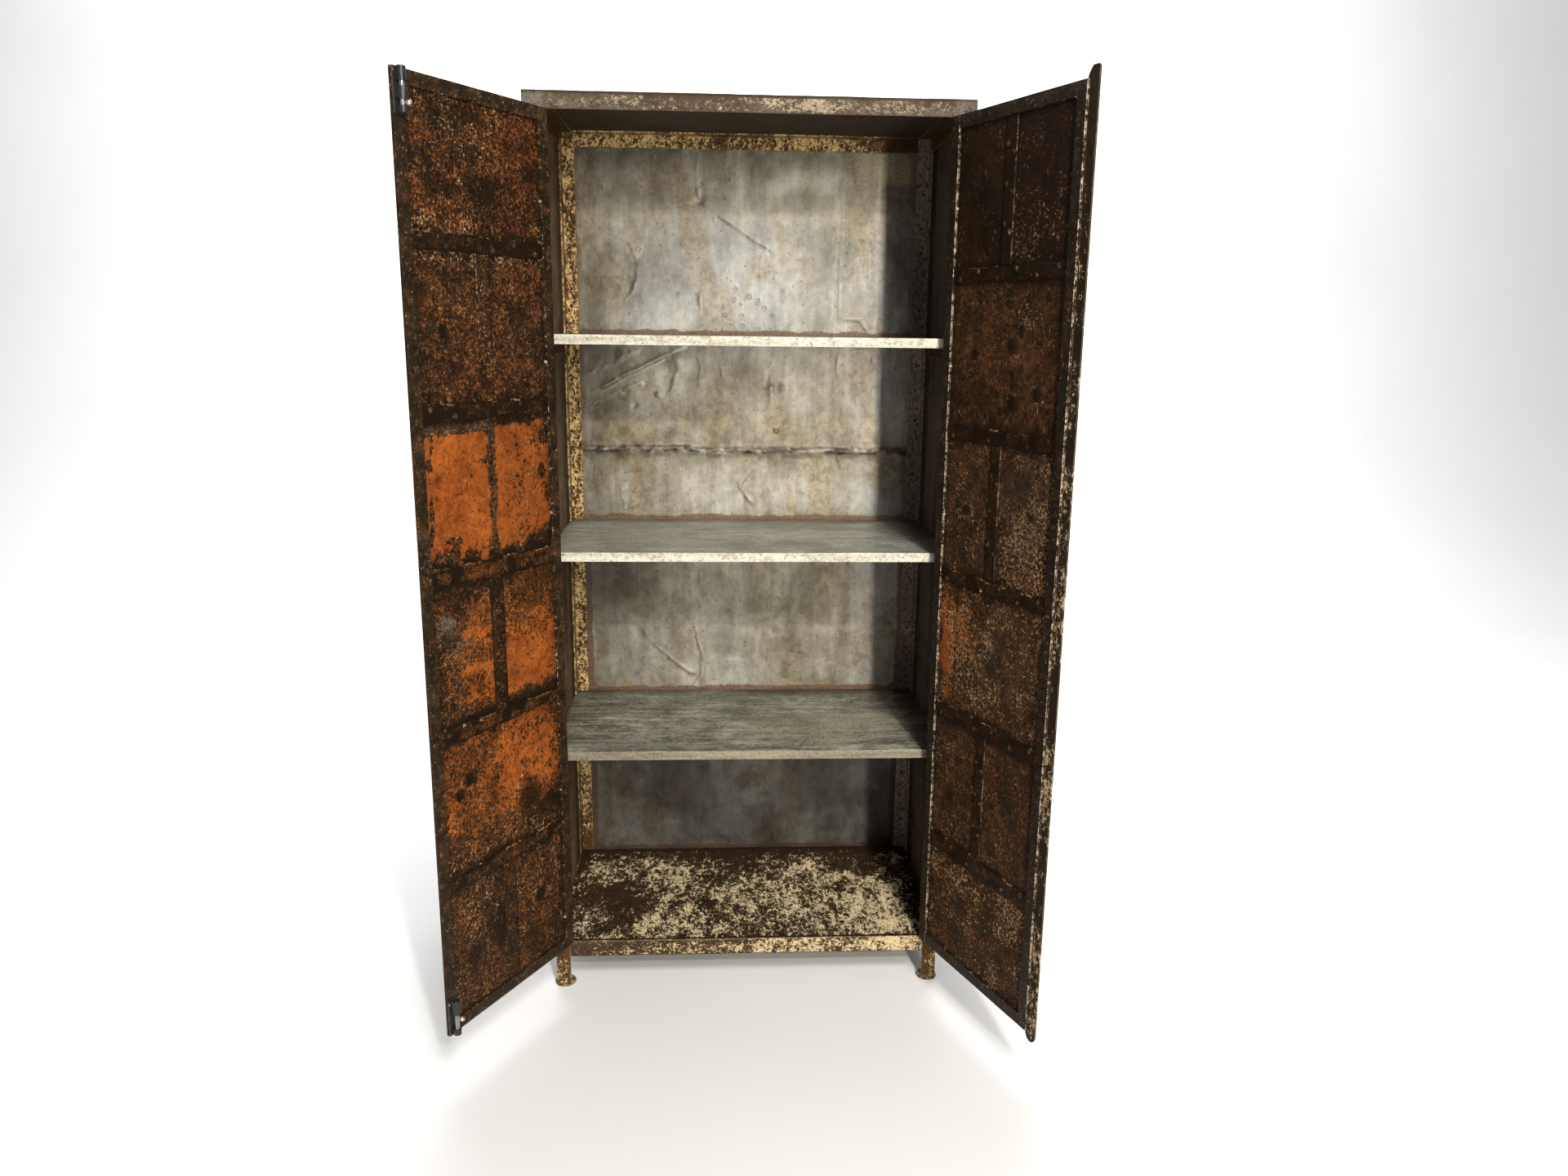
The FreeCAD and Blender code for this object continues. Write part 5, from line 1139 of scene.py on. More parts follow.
# ---------------------------------------------------------------------- hinges
p, pins = Piece(), Piece()
leaves = {"left": Piece("left"), "right": Piece("right")}
for side, sx in (("left", -1), ("right", 1)):
    front = -233.5 if side == "left" else -234.0
    for level in HINGES:
        a, b = sorted((sx * 401.5, sx * 424.0))
        bar(p, 2, (a, -234, level - 45), (b, -232, level + 45), 0.6, 20, (0.15, 0.15, 0, 0), seed=int(level) + sx)
        for z0, z1 in ((-45, -15), (15, 45)):
            a, b = sorted((sx * 397.0, sx * 402.2))
            bar(p, 2, (a, -234, level + z0), (b, -232, level + z1), 0.4, 12, seed=3)
            tube(p, (sx * 396, -237, level), (0, 0, 1), ring_loop(5.0, 2.56, z0, z1, 0.5), 28, ed=0.2, wear=0.1)
        lathe(pins, (sx * 396, -237, level), (0, 0, 1),
              [(0, -46.2), (2.0, -46.2), (2.5, -45.7), (2.5, 45.2), (4.0, 45.2), (4.0, 46.4), (3.2, 47.1), (0, 47.2)], 24, ed=0.3, wear=0.2)
        q = leaves[side]
        a, b = sorted((sx * 390.5, sx * 368.0))
        bar(q, 2, (a, front - 2, level - 45), (b, front, level + 45), 0.6, 20, (0.15, 0.15, 0, 0), seed=int(level) + 5 * sx)
        a, b = sorted((sx * 391.2, sx * 395.0))
        bar(q, 2, (a, front - 2, level - 14.6), (b, front, level + 14.6), 0.4, 12, seed=4)
        tube(q, (sx * 396, -237, level), (0, 0, 1), ring_loop(5.0, 2.56, -14.6, 14.6, 0.5), 28, ed=0.2, wear=0.1)
p.done("vis_hinge_post_leaves", HINGE, "carcass", "hinge_post_leaves", "hinge_iron")
pins.done("vis_hinge_pins", HINGE, "carcass", "hinge_pins", "hinge_iron")
for side in ("left", "right"):
    leaves[side].done("vis_%s_door_hinge_leaves" % side, HINGE, "%s_door" % side, "%s_door_hinge_leaves" % side, "hinge_iron")

# ----------------------------------------------------------------------- doors
EDGE, MEET, BAR = 392.0, 1.5, 25.0
FOOT_Z, HEAD_Z = 113.5, 1864.5
STRAPS = {"left": (1600.0, 1308.0, 1010.0, 708.0, 413.0), "right": (1565.0, 1262.0, 967.0, 676.0, 376.0)}
UPRIGHT = {"left": 198.0, "right": 202.0}
UP_WIDTH = {"left": 37.0, "right": 31.0}
UP_ROWS = {"left": (1, 3, 5), "right": (0, 2, 4)}
OUTER = {"left": -233.5, "right": -234.0}

# round dents and bosses on the panels: (u from the hinge edge, z, radius, height)
DENTS = {
    "left": [(320, 1735, 22, -2.8), (215, 1755, 18, 2.5), (165, 1700, 30, -2.8), (260, 1690, 26, -2.8), (60, 1735, 26, 2.6),
             (110, 1780, 20, -2.2), (300, 1450, 15, -3.0), (95, 1480, 26, 2.6), (280, 1380, 20, 2.4), (345, 1520, 24, -2.4),
             (330, 1190, 12, -3.4), (120, 1240, 26, 2.0), (60, 860, 22, -2.6), (270, 800, 30, 2.2), (320, 900, 28, -2.4),
             (290, 610, 14, -4.0), (320, 585, 13, -4.0), (120, 520, 46, 3.0), (220, 560, 36, -2.2), (300, 250, 30, -2.6),
             (100, 280, 22, -3.2), (220, 300, 24, 2.6), (60, 200, 26, 2.4)],
    "right": [(225, 1434, 19, 5.0), (250, 1463, 13, 3.4), (236, 1330, 21, 5.0), (305, 1349, 18, 4.2), (100, 1417, 15, -3.6), (95, 1495, 22, 2.6),
              (285, 1505, 36, 2.4), (60, 1330, 24, 2.6), (335, 1420, 26, -2.4), (103, 1110, 18, 5.2), (298, 1124, 15, -4.0), (280, 1180, 40, 2.2),
              (110, 1180, 34, -2.2), (220, 820, 44, 2.6), (330, 760, 30, -2.6), (150, 760, 30, -2.4), (290, 560, 34, 2.8),
              (80, 500, 28, -2.4), (240, 440, 28, 2.4), (140, 270, 40, 2.6), (280, 200, 34, -2.6), (60, 200, 26, -2.4),
              (120, 1720, 34, 2.4), (300, 1700, 34, -2.6), (80, 1640, 22, 2.4)],
}


def strap_edges(side, i):
    """(dz low, dz high) against the plain strap, by distance from the hinge edge."""
    if side == "left" and i == 2:
        return lambda u: (-11 + 9.0 * u / 390 * 1.6, -3 + 10.0 * u / 390)
    if side == "left" and i == 3:
        return lambda u: (5 - 8.0 * u / 390, -7 + 13.0 * u / 390)
    if side == "right" and i == 4:
        return lambda u: (-4 + 0 * u, 4 + 0 * u)
    return lambda u: (0 * u, 0 * u)


# what is left of each coat on the straps, top to bottom, then on the uprights:
# (orange, red, cream, grime)
COAT = {
    "left": [(0.06, 0.25, 0.20, 0.55), (0.10, 0.30, 0.22, 0.48), (0.36, 0.50, 0.26, 0.36), (0.34, 0.45, 0.18, 0.34), (0.22, 0.45, 0.26, 0.34),
             (0.12, 0.15, 0.44, 0.10), (0.20, 0.20, 0.34, 0.26), (0.16, 0.35, 0.28, 0.28)],
    "right": [(0.04, 0.20, 0.20, 0.62), (0.04, 0.25, 0.22, 0.55), (0.05, 0.25, 0.26, 0.50), (0.05, 0.25, 0.22, 0.50), (0.05, 0.30, 0.24, 0.45),
              (0.03, 0.20, 0.14, 0.70), (0.04, 0.25, 0.20, 0.50), (0.05, 0.30, 0.18, 0.48)],
}
GLEAM = {"left": {1: 0.75, 3: 0.0, 5: 1.4}, "right": {0: 0.88, 2: 0.86, 4: 0.84}}
ACROSS = np.array([-1.0, -0.95, -0.86, -0.72, -0.5, -0.25, 0.0, 0.25, 0.5, 0.72, 0.86, 0.95, 1.0])


def flat(p, level, us, mid, half, y_low, y_high, seed, rag, coat, edges=None, lit=0, shine=None):
    """Riveted flat with torn edges: rag gives its long and short raggedness,
    lit the side whose edge carries a painted highlight line and shine how strong it is."""
    ax = (0, 2, 1) if level else (2, 0, 1)

    def bend(u, w):
        t = np.abs(w - mid) / half
        return -1.1 * step(0.90, 1.0, t) - 0.35 * step(0.8, 0.95, t) + 0.9 * (fbm(u, w, 60, seed + 1, 3) - 0.5) * step(1.0, 0.7, t)

    def trim(u, w):
        t = (w - mid) / half
        off = 0.0 * t
        for sign, k in ((-1, 2), (1, 3)):
            rip = rag[0] * 2 * (fbm(u, 0 * u, 52, seed + k, 3) - 0.5) + rag[1] * 2 * (fbm(u, 0 * u, 13, seed + k + 40, 2) - 0.5)
            if edges:
                rip = rip + edges(u)[0 if sign < 0 else 1]
            off = off + np.where(np.sign(t) == sign, np.abs(t) * rip, 0.0)
        return u, w + off

    def masks(u, w):
        t = (w - mid) / half
        n, q, s = fbm(u, w, 70, seed + 5), fbm(u, w, 22, seed + 6), fbm(u, w * 1.4, 30, seed + 9, 3)
        rim = step(0.60, 0.98, np.abs(t) + 0.5 * (q - 0.5))
        edge_highlight = shine(u) * step(0.90, 0.97, lit * t) * step(0.30, 0.46, fbm(u, 0 * u, 16, seed + 7, 2)) if lit else 0.0
        # a painted highlight as a tan line along the upper edge of a level strap; torn black patches
        tan = step(0.70, 0.86, t + 0.25 * (q - 0.5)) * step(0.40, 0.56, fbm(u, 0 * u, 30, seed + 8, 2)) if level else 0.0
        torn = 0.75 * step(0.54, 0.60, s) if level else 0.35 * step(0.56, 0.62, s)
        return dict(org=coat[0] + 0.45 * (n - 0.5) - 0.25 * rim - edge_highlight - 0.3 * torn, red=coat[1] + 0.6 * (n - 0.5),
                    crm=np.clip(coat[2] + 0.7 * (q - 0.5) + 1.0 * edge_highlight + 0.62 * tan - 0.3 * torn, 0, 1),
                    drk=np.clip(coat[3] + 0.3 * (q - 0.5) + 0.45 * rim - 0.9 * edge_highlight - 0.7 * tan + torn, 0, 1), pal=0.7 * edge_highlight)

    plate(p, ax, us, mid + half * ACROSS, y_low, y_high, bend, low=lambda u, w: dict(drk=0.5), high=masks, trim=trim)


def paint_masks(side, row, u, z, z_high, z_low):
    """What is left of each coat on the inner face of one row of sheet, with painted shade in the dents and along the
    panel edges.
    """
    one = np.ones(np.shape(u))
    n1, n2, n3 = fbm(u, z, 90, 211 + row), fbm(u, z, 38, 223 + row), fbm(u, z, 60, 235 + row)
    top, low = z_high - z, z - z_low
    org, red, crm, drk, pal, dul = 0 * one, 0.3 * one, 0.25 * one, 0.1 * one, 0 * one, 0 * one
    if side == "left":
        if row == 0:
            red = 0.50 + 1.0 * (n1 - 0.45) + 0.5 * blob(u, z, 60, 1745, 70, 80, 301)
            crm = 0.27 + 1.0 * (n2 - 0.5) + 0.30 * step(70, 20, low) + 0.15 * step(90, 30, top) + 0.10 * step(150, 300, u)
            org = 0.09 + 0.20 * blob(u, z, 45, 1740, 55, 80, 302, 0.7, 0.6) + 0.10 * blob(u, z, 320, 1720, 90, 90, 303, 0.8, 0.6)
            drk = 0.15 + 0.20 * step(0.52, 0.72, n3) + 0.4 * blob(u, z, 300, 1700, 30, 26, 304, 0.6) + 0.4 * blob(u, z, 190, 1690, 34, 34, 305, 0.6) \
                + 0.4 * blob(u, z, 260, 1810, 60, 22, 306, 0.6)
        elif row == 1:
            red = 0.58 + 0.7 * (n1 - 0.5)
            dul = 0.12 * one
            crm = 0.22 + 0.9 * (n2 - 0.5) + 0.62 * step(46, 12, top) + 0.40 * step(46, 12, low) + 0.5 * np.exp(-((u - 220) / 8.0) ** 2) * step(90, 30, top)
            org = 0.09 * one
            drk = 0.11 + 0.2 * step(0.52, 0.74, n3)
        elif row == 2:
            free = step(186, 196, u)
            org = 1.12 - 0.95 * step(34 + 16 * free, 15 + 18 * free, top + 14 * (n2 - 0.5)) - 1.0 * step(56, 22, low + 46 * (n1 - 0.5) * 2)
            org = org - 0.88 * np.exp(-((u - 190 - 14 * (n1 - 0.5)) / 15.0) ** 2)
            org = org - 0.47 * step(182, 150, u) - 0.06 * step(90, 10, u) + 0.45 * (n2 - 0.5)
            for cu, cz, ru, rz in ((351, 1215, 11, 12), (352, 1130, 7, 36), (210, 1215, 22, 6), (250, 1190, 7, 4), (40, 1250, 12, 18), (345, 1258, 5, 26),
                                   (356, 1090, 7, 24), (300, 1075, 20, 8), (48, 1180, 9, 14)):
                org = org - 1.0 * blob(u, z, cu, cz, ru, rz, 311 + int(cu), 0.6)
            pal = 0.10 * np.exp(-((u - 190) / 12.0) ** 2) + 0.22 * free * step(40, 32, top) * step(20, 26, top)
            org = org - 0.8 * blob(u, z, 325, 1042, 44, 20, 310, 0.9, 0.6)
            crm = 0.08 + 0.40 * step(190, 120, u) * step(0.45, 0.6, n2) + 0.5 * step(26, 14, top) + 0.25 * np.exp(-((u - 190) / 16.0) ** 2) + 0.3 * step(40, 20, low)
            drk = 0.40 * step(36, 14, top + 14 * (n2 - 0.5)) + 0.65 * step(46, 16, low + 40 * (n1 - 0.5)) + 0.22 * step(182, 150, u) \
                + 0.30 * np.exp(-((u - 190 - 14 * (n1 - 0.5)) / 11.0) ** 2)
            red = 0.3 * one
        elif row == 3:
            hinge_half = step(188, 178, u)
            org = hinge_half * (0.57 + 0.5 * (n1 - 0.5) - 0.18 * step(170, 60, top) + 0.10 * step(150, 80, low) - 0.75 * step(50, 16, low + 26 * (n2 - 0.5)))
            org = org + (1 - hinge_half) * (0.36 + 0.6 * (n1 - 0.5) + 0.22 * blob(u, z, 240, 770, 70, 60, 321, 0.6, 0.6) - 0.18 * step(270, 340, u)
                                            - 0.4 * step(60, 20, low) - 0.20 * step(70, 20, top))
            for zz in (893, 822):
                org = org + 0.30 * (1 - hinge_half) * np.exp(-((z - zz - 0.06 * (u - 250) - 8 * (n2 - 0.5)) / 8.0) ** 2) * step(330, 280, u) * step(205, 225, u)
            pal = 0.65 * blob(u, z, 335, 924, 22, 18, 322, 0.6) + 0.22 * blob(u, z, 310, 890, 36, 26, 323, 0.6)
            drk = 0.6 * step(44, 8, low) + 0.35 * step(60, 20, top) + 0.35 * blob(u, z, 75, 945, 50, 26, 324, 0.8) + 0.3 * step(0.54, 0.72, n3)
            crm = 0.12 + 0.7 * (n2 - 0.5) + 0.10 * step(260, 350, u)
            red = 0.45 * one
        elif row == 4:
            org = 0.45 + 0.3 * (n1 - 0.5) + 0.20 * blob(u, z, 85, 600, 110, 90, 331, 0.5, 0.7) + 0.10 * blob(u, z, 270, 610, 110, 80, 332, 0.5, 0.7)
            org = org - 0.30 * step(110, 30, low)
            crm = 0.20 + 0.8 * (n2 - 0.5) + 0.22 * step(220, 330, u) + 0.25 * step(80, 30, low)
            drk = 0.25 * step(50, 10, low) + 0.5 * blob(u, z, 60, 470, 55, 26, 333, 0.8) + 0.9 * blob(u, z, 290, 612, 17, 15, 334, 0.5) \
                + 0.9 * blob(u, z, 318, 588, 16, 13, 335, 0.5) + 0.3 * step(0.55, 0.72, n3) + 0.4 * np.exp(-((u - 222) / 10.0) ** 2) * step(0.4, 0.6, n2)
            red = 0.5 * one
        else:
            red = 0.34 + 0.7 * (n1 - 0.5)
            org = 0.13 + 0.16 * blob(u, z, 120, 200, 120, 80, 341, 0.6, 0.6)
            crm = 0.26 + 1.0 * (n2 - 0.5) + 0.25 * blob(u, z, 310, 310, 90, 90, 342, 0.6, 0.6) + 0.36 * blob(u, z, 90, 340, 85, 65, 343, 0.6, 0.6)
            drk = 0.6 * blob(u, z, 225, 270, 30, 44, 344, 0.7) + 0.14 + 0.28 * step(0.53, 0.74, n3)
    else:
        drk = 0.18 + 0.20 * step(0.52, 0.74, n3)
        red = 0.32 + 0.6 * (n1 - 0.5)
        crm = 0.22 + 1.0 * (n2 - 0.5)
        org = 0.05 * one
        if row == 0:
            drk = drk + 0.48
            red = 0.7 * red
            crm = crm + 0.12 + 0.12 * blob(u, z, 265, 1630, 130, 70, 351, 0.7, 0.9) + 0.10 * step(1750, 1620, z)
            drk = drk + 0.10
            dul = 0.15 * one
        elif row == 1:
            red = 0.70 + 0.6 * (n1 - 0.5)
            dul = 0.50 + 0.5 * (n1 - 0.5)
            crm = crm + 0.04 + 0.12 * blob(u, z, 250, 1470, 100, 60, 352)
        elif row == 2:
            red = 0.24 + 0.6 * blob(u, z, 50, 1110, 30, 110, 353, 0.7)
            crm = crm + 0.26 + 0.46 * blob(u, z, 310, 1060, 70, 100, 354, 0.8, 0.6) + 0.3 * blob(u, z, 330, 1010, 40, 40, 355)
            pal = 0.15 * blob(u, z, 290, 1150, 80, 90, 356) + 0.05
            dul = 0.40 * step(215, 185, u) + 0.30 * blob(u, z, 290, 1150, 90, 90, 356)
        elif row == 3:
            org = 0.05 + 0.60 * blob(u, z, 54, 820, 34, 96, 357, 1.0, 0.7) + 0.50 * blob(u, z, 118, 850, 38, 48, 358, 1.0, 0.6)
            crm = crm + 0.28 + 0.50 * blob(u, z, 125, 830, 70, 80, 359, 0.8, 0.5) + 0.3 * blob(u, z, 170, 760, 60, 80, 360, 0.8) + 0.2 * step(330, 365, u)
            drk = drk - 0.2 * step(150, 60, u) + 0.55 * np.exp(-((u - 84 - 8 * (n1 - 0.5)) / 5.0) ** 2) * step(0, 60, low)
            pal = 0.12 * blob(u, z, 230, 830, 80, 70, 346, 0.8, 0.6) + 0.03
            dul = 0.36 * step(150, 200, u) + 0 * one
        elif row == 4:
            red = 0.38 + 0.5 * blob(u, z, 250, 600, 120, 40, 361)
            dul = 0.15 * one
            pal = 0.05 * one
            crm = crm + 0.09 + 0.15 * blob(u, z, 60, 560, 60, 60, 362)
        else:
            red = 0.48 + 0.7 * (n1 - 0.5)
            crm = crm + 0.25 + 0.40 * blob(u, z, 90, 330, 110, 40, 363, 0.8) + 0.40 * blob(u, z, 310, 290, 60, 60, 364, 0.8)
    # painted shade along the panel edges beside the frame bars and straps
    rim = np.minimum(np.minimum(u - 26, 366 - u), np.minimum(top - 14, low - 14))
    drk = np.clip(drk, 0, 1) + 0.40 * step(16, 2, rim + 18 * (n2 - 0.5))
    # painted shade in the dents and a painted highlight round their rims
    for cu, cz, r, h in DENTS[side]:
        q = np.hypot(u - cu, z - cz) / r
        deep = (1.15 if side == "right" else 1.0) if abs(h) >= 3.0 else 0.30
        drk = drk + deep * np.exp(-(q / 0.75) ** 4)
        crm = crm + 0.28 * deep * np.exp(-((q - 0.95) / 0.25) ** 2)
    return dict(org=np.clip(org, -0.5, 1.15), red=np.clip(red, 0, 1), crm=np.clip(crm, 0, 1), drk=np.clip(drk, 0, 1.7), pal=np.clip(pal, 0, 1), dul=np.clip(dul, 0, 1))


for side, sx in (("left", -1), ("right", 1)):
    body = "%s_door" % side
    y0 = OUTER[side]                # outer face of the skin
    ys, yb, yt = y0 + 1.5, y0 + 6.5, y0 + 4.5
    marks = (HEAD_Z,) + STRAPS[side] + (FOOT_Z,)

    def span(lo, hi):
        return (lo, hi) if sx > 0 else (-hi, -lo)

    # frame bars; the edges that look into the panel are painted pale as a highlight line
    for tag, lo, hi in (("hinge_stile", EDGE - BAR, EDGE), ("free_stile", MEET, MEET + BAR)):
        p = Piece(side)
        a, b = span(lo, hi)
        panel_edge = sx * lo if tag == "hinge_stile" else sx * hi
        wob = (0.4, 0.4, 0.0, 0.25)
        bar(p, 2, (a, ys, FOOT_Z), (b, yb, HEAD_Z), 0.9, 12, wob, seed=401 + sx + 10 * (tag == "free_stile"),
            wear=lambda v, e=panel_edge: ((0.55 if sx > 0 else 0.26) if tag == "hinge_stile" else 0.10) * step(1.5, 0.5, np.abs(v[:, 0] - e))
            + (0.54 if side == "right" and tag == "free_stile" else 0.0) * step(1.3, 0.7, np.abs(v[:, 0] - MEET)))
        if tag == "hinge_stile":
            # tack welds between skin and stile
            for k in range(17):
                z = 190 + k * 100 + 30 * math.sin(k * 2.1)
                dome(p, (panel_edge - sx * 0.8, yb - 2.2, z), (0, 1, 0), 2.6 + 0.8 * math.sin(k * 1.7), 3.2, 10, seed=k, sink=2.0,
                     ed=0.0, wear=1.0 if k % 3 == 0 else 0.35)
        p.done("vis_%s_%s" % (body, tag), DOOR_BAR if side == "left" else DOOR_BAR_DARK, body, "%s_%s" % (body, tag), "door_bar")
    p = Piece(side)
    for lo, hi in ((FOOT_Z, FOOT_Z + BAR), (HEAD_Z - BAR, HEAD_Z)):
        a, b = span(MEET + BAR + 0.1, EDGE - BAR - 0.1)
        inner_edge = hi if lo < 500 else lo
        bar(p, 0, (a, ys, lo), (b, yb, hi), 0.9, 12, (0.0, 0.25, 0.35, 0.35), seed=421 + sx + int(lo) % 7,
            wear=lambda v, e=inner_edge: 0.12 * step(1.5, 0.5, np.abs(v[:, 2] - e)))
    p.done("vis_%s_rails" % body, DOOR_BAR if side == "left" else DOOR_BAR_DARK, body, "%s_rails" % body, "door_bar")

    # skin sheets
    for r in range(6):
        p = Piece(side)
        z_hi, z_lo = marks[r] - (0.2 if r else 0), marks[r + 1] + (0.2 if r < 5 else 0)
        halves = [(MEET, UPRIGHT[side] - 0.2), (UPRIGHT[side] + 0.2, EDGE)] if r in UP_ROWS[side] else [(MEET, EDGE)]
        for lo, hi in halves:
            a, b = span(lo, hi)

            def dents(x, z, rr=r):
                u = EDGE - np.abs(x)
                hold = step(25, 48, u) * step(390, 342, u)
                for m in marks:
                    hold = hold * step(12, 44, np.abs(z - m))
                if rr in UP_ROWS[side]:
                    hold = hold * step(UP_WIDTH[side] * 0.45, UP_WIDTH[side] * 0.45 + 30, np.abs(np.abs(x) - UPRIGHT[side]))
                d = 4.2 * (fbm(u, z, 150, 441 + rr + 20 * sx, 3) - 0.46) + 1.2 * (fbm(u, z, 44, 461 + rr, 3) - 0.5)
                for cu, cz, rad, h in DENTS[side]:
                    q = ((u - cu) / rad) ** 2 + ((z - cz) / rad) ** 2
                    d = d + h * np.exp(-q * 1.4)
                return d * hold

            def inner_face(x, z, rr=r, zh=z_hi, zl=z_lo):
                return paint_masks(side, rr, EDGE - np.abs(x), z, zh, zl)

            def outer_face(x, z, rr=r):
                u = EDGE - np.abs(x)
                n, q, w = fbm(u, z, 230, 471 + sx), fbm(u, z, 90, 481 + sx), fbm(u, z * 0.25, 34, 483 + sx)
                left = 0.95 * step(0.40, 0.78, n + 0.5 * (q - 0.5)) * step(0.30, 0.72, fbm(u, z, 46, 485 + sx))
                seam, halo, run = 0 * u, 0 * u, 0 * u
                for m in marks[1:6]:
                    seam = np.maximum(seam, np.exp(-((z - m) / 3.5) ** 2))
                    for k in range(6):
                        du, dz = u - 47 - k * 59.5, z - m - (7 if k % 2 else -7)
                        halo = np.maximum(halo, np.exp(-(du ** 2 + dz ** 2) / 90.0))
                        run = np.maximum(run, np.exp(-(du / 5.0) ** 2) * step(4, -6, dz) * step(-30 - 70 * float(cell(np.array([k * 7.0 + m]), np.array([sx * 3.0]), 9)[0]), 0, dz))
                wet = step(300, 130, z + 120 * (q - 0.5))
                return dict(org=0.10 * run, red=np.clip(0.30 + 0.5 * (q - 0.5) + 0.6 * run + 0.3 * wet, 0, 1),
                            crm=np.clip(0.06 + left - 0.5 * wet - 0.5 * run, 0, 1), dul=np.clip(0.92 - 0.35 * left - 0.35 * run - 0.5 * wet, 0, 1),
                            drk=np.clip(0.85 * seam + 0.55 * halo + 0.30 * step(0.52, 0.70, w) + 0.15 * wet, 0, 1), pal=0.20 * step(0.46, 0.60, w))

            nu = max(12, int((hi - lo) / 3.6))
            plate(p, (0, 2, 1), np.linspace(a, b, nu), np.linspace(z_lo, z_hi, int((z_hi - z_lo) / 3.6)), y0, ys,
                  dents, low=outer_face, high=inner_face)
        p.done("vis_%s_sheet_%d" % (body, r + 1), DOOR_SKIN, body, "%s_sheet_%d" % (body, r + 1), "door_skin", angle=60)

    # straps: torn-edged flats under the same crust as the panels
    p = Piece(side)
    for i, z in enumerate(STRAPS[side]):
        a, b = span(MEET + BAR + 0.3, EDGE - BAR - 0.3)
        flat(p, True, np.linspace(a, b, 96), z, 15.0, ys - 0.2, yt, 501 + 7 * i + 10 * sx, (3.2, 1.8), COAT[side][i],
             edges=lambda x, fn=strap_edges(side, i): fn(EDGE - np.abs(x)))
    p.done("vis_%s_cross_straps" % body, DOOR_SKIN, body, "%s_cross_straps" % body, "door_bar", angle=50)
    p = Piece(side)
    for r in UP_ROWS[side]:
        hi = marks[r] - (25.3 if r == 0 else 15.3)
        lo = marks[r + 1] + (25.3 if r == 5 else 15.3)
        flat(p, False, np.linspace(lo, hi, int((hi - lo) / 4)), sx * UPRIGHT[side], UP_WIDTH[side] / 2, ys - 0.2, yt - 0.3, 521 + 7 * r + 10 * sx,
             (1.2, 0.6), COAT[side][5 + UP_ROWS[side].index(r)], lit=-sx, shine=lambda z, r=r: GLEAM[side][r] * (1.0 if side == "right" else step(1420, 1500, z) + 0.25))
    p.done("vis_%s_upright_straps" % body, DOOR_SKIN, body, "%s_upright_straps" % body, "door_bar", angle=50)

    # rivets
    p = Piece(side)
    up_off = 11.0 if side == "left" else 8.5
    for i, z in enumerate(STRAPS[side]):
        for k in range(6):
            x = sx * (EDGE - 47 - k * 59.5)
            zz = z + (7 if k % 2 else -7)
            head(p, (x, y0, zz), (0, -1, 0))
            head(p, (x, yt + 0.1, zz), (0, 1, 0), 5.4, 2.6)
    for r in UP_ROWS[side]:
        top, low = marks[r], marks[r + 1]
        for f in (0.27, 0.5, 0.73):
            for o in (-up_off, up_off):
                at = (sx * (UPRIGHT[side] + o), low + f * (top - low) + o * 0.9)
                head(p, (at[0], y0, at[1]), (0, -1, 0))
                head(p, (at[0], yt + 0.1, at[1]), (0, 1, 0), 4.8, 2.4)
    for k in range(13):
        z = 180 + k * 134.0
        if all(abs(z - h) > 62 for h in HINGES):
            head(p, (sx * (EDGE - BAR / 2), y0, z), (0, -1, 0))
            head(p, (sx * (EDGE - BAR / 2), yb, z), (0, 1, 0), 3.6, 0.7)
        if side == "right" and abs(z - 950) > 45:
            head(p, (sx * (MEET + 16.5), y0, z), (0, -1, 0))
            head(p, (sx * (MEET + 16.5), yb, z), (0, 1, 0), 3.4, 0.7)
    for x in (70, 150, 240, 320):
        for z in (FOOT_Z + BAR / 2, HEAD_Z - BAR / 2):
            head(p, (sx * x, y0, z), (0, -1, 0))
            head(p, (sx * x, yb, z), (0, 1, 0), 3.4, 0.6)
    for level in HINGES:
        for dz in (-24, 24):
            head(p, (sx * 377.0, y0 - 2, level + dz), (0, -1, 0))
    if side == "left":
        for x, z in ((52, 14), (52, -14), (32, 14), (32, -14)):
            head(p, (-x, y0 - 2, 950 + z), (0, -1, 0), 2.8, 1.2)
        for z0, z1 in ((1793, HEAD_Z), (FOOT_Z, 187)):
            for z in (z0 + 6, z1 - 6):
                for dx in (-9.6, 9.6):
                    head(p, (-14.5 + dx, -225.4, z), (0, 1, 0), 2.8, 1.2, wear=0.5)
    else:
        for z in (130, 330, 530, 730, 870, 1070, 1270, 1455, 1640, 1840):
            head(p, (MEET + 4.0, y0 - 3, z), (0, -1, 0), 2.8, 1.2)
        for x, z in ((45, 12), (45, -12), (30, 12), (30, -12)):
            head(p, (x, y0 - 2, 950 + z), (0, -1, 0), 2.8, 1.2)
    p.done("vis_%s_rivets" % body, RIVET, body, "%s_rivets" % body, "rivet_iron")

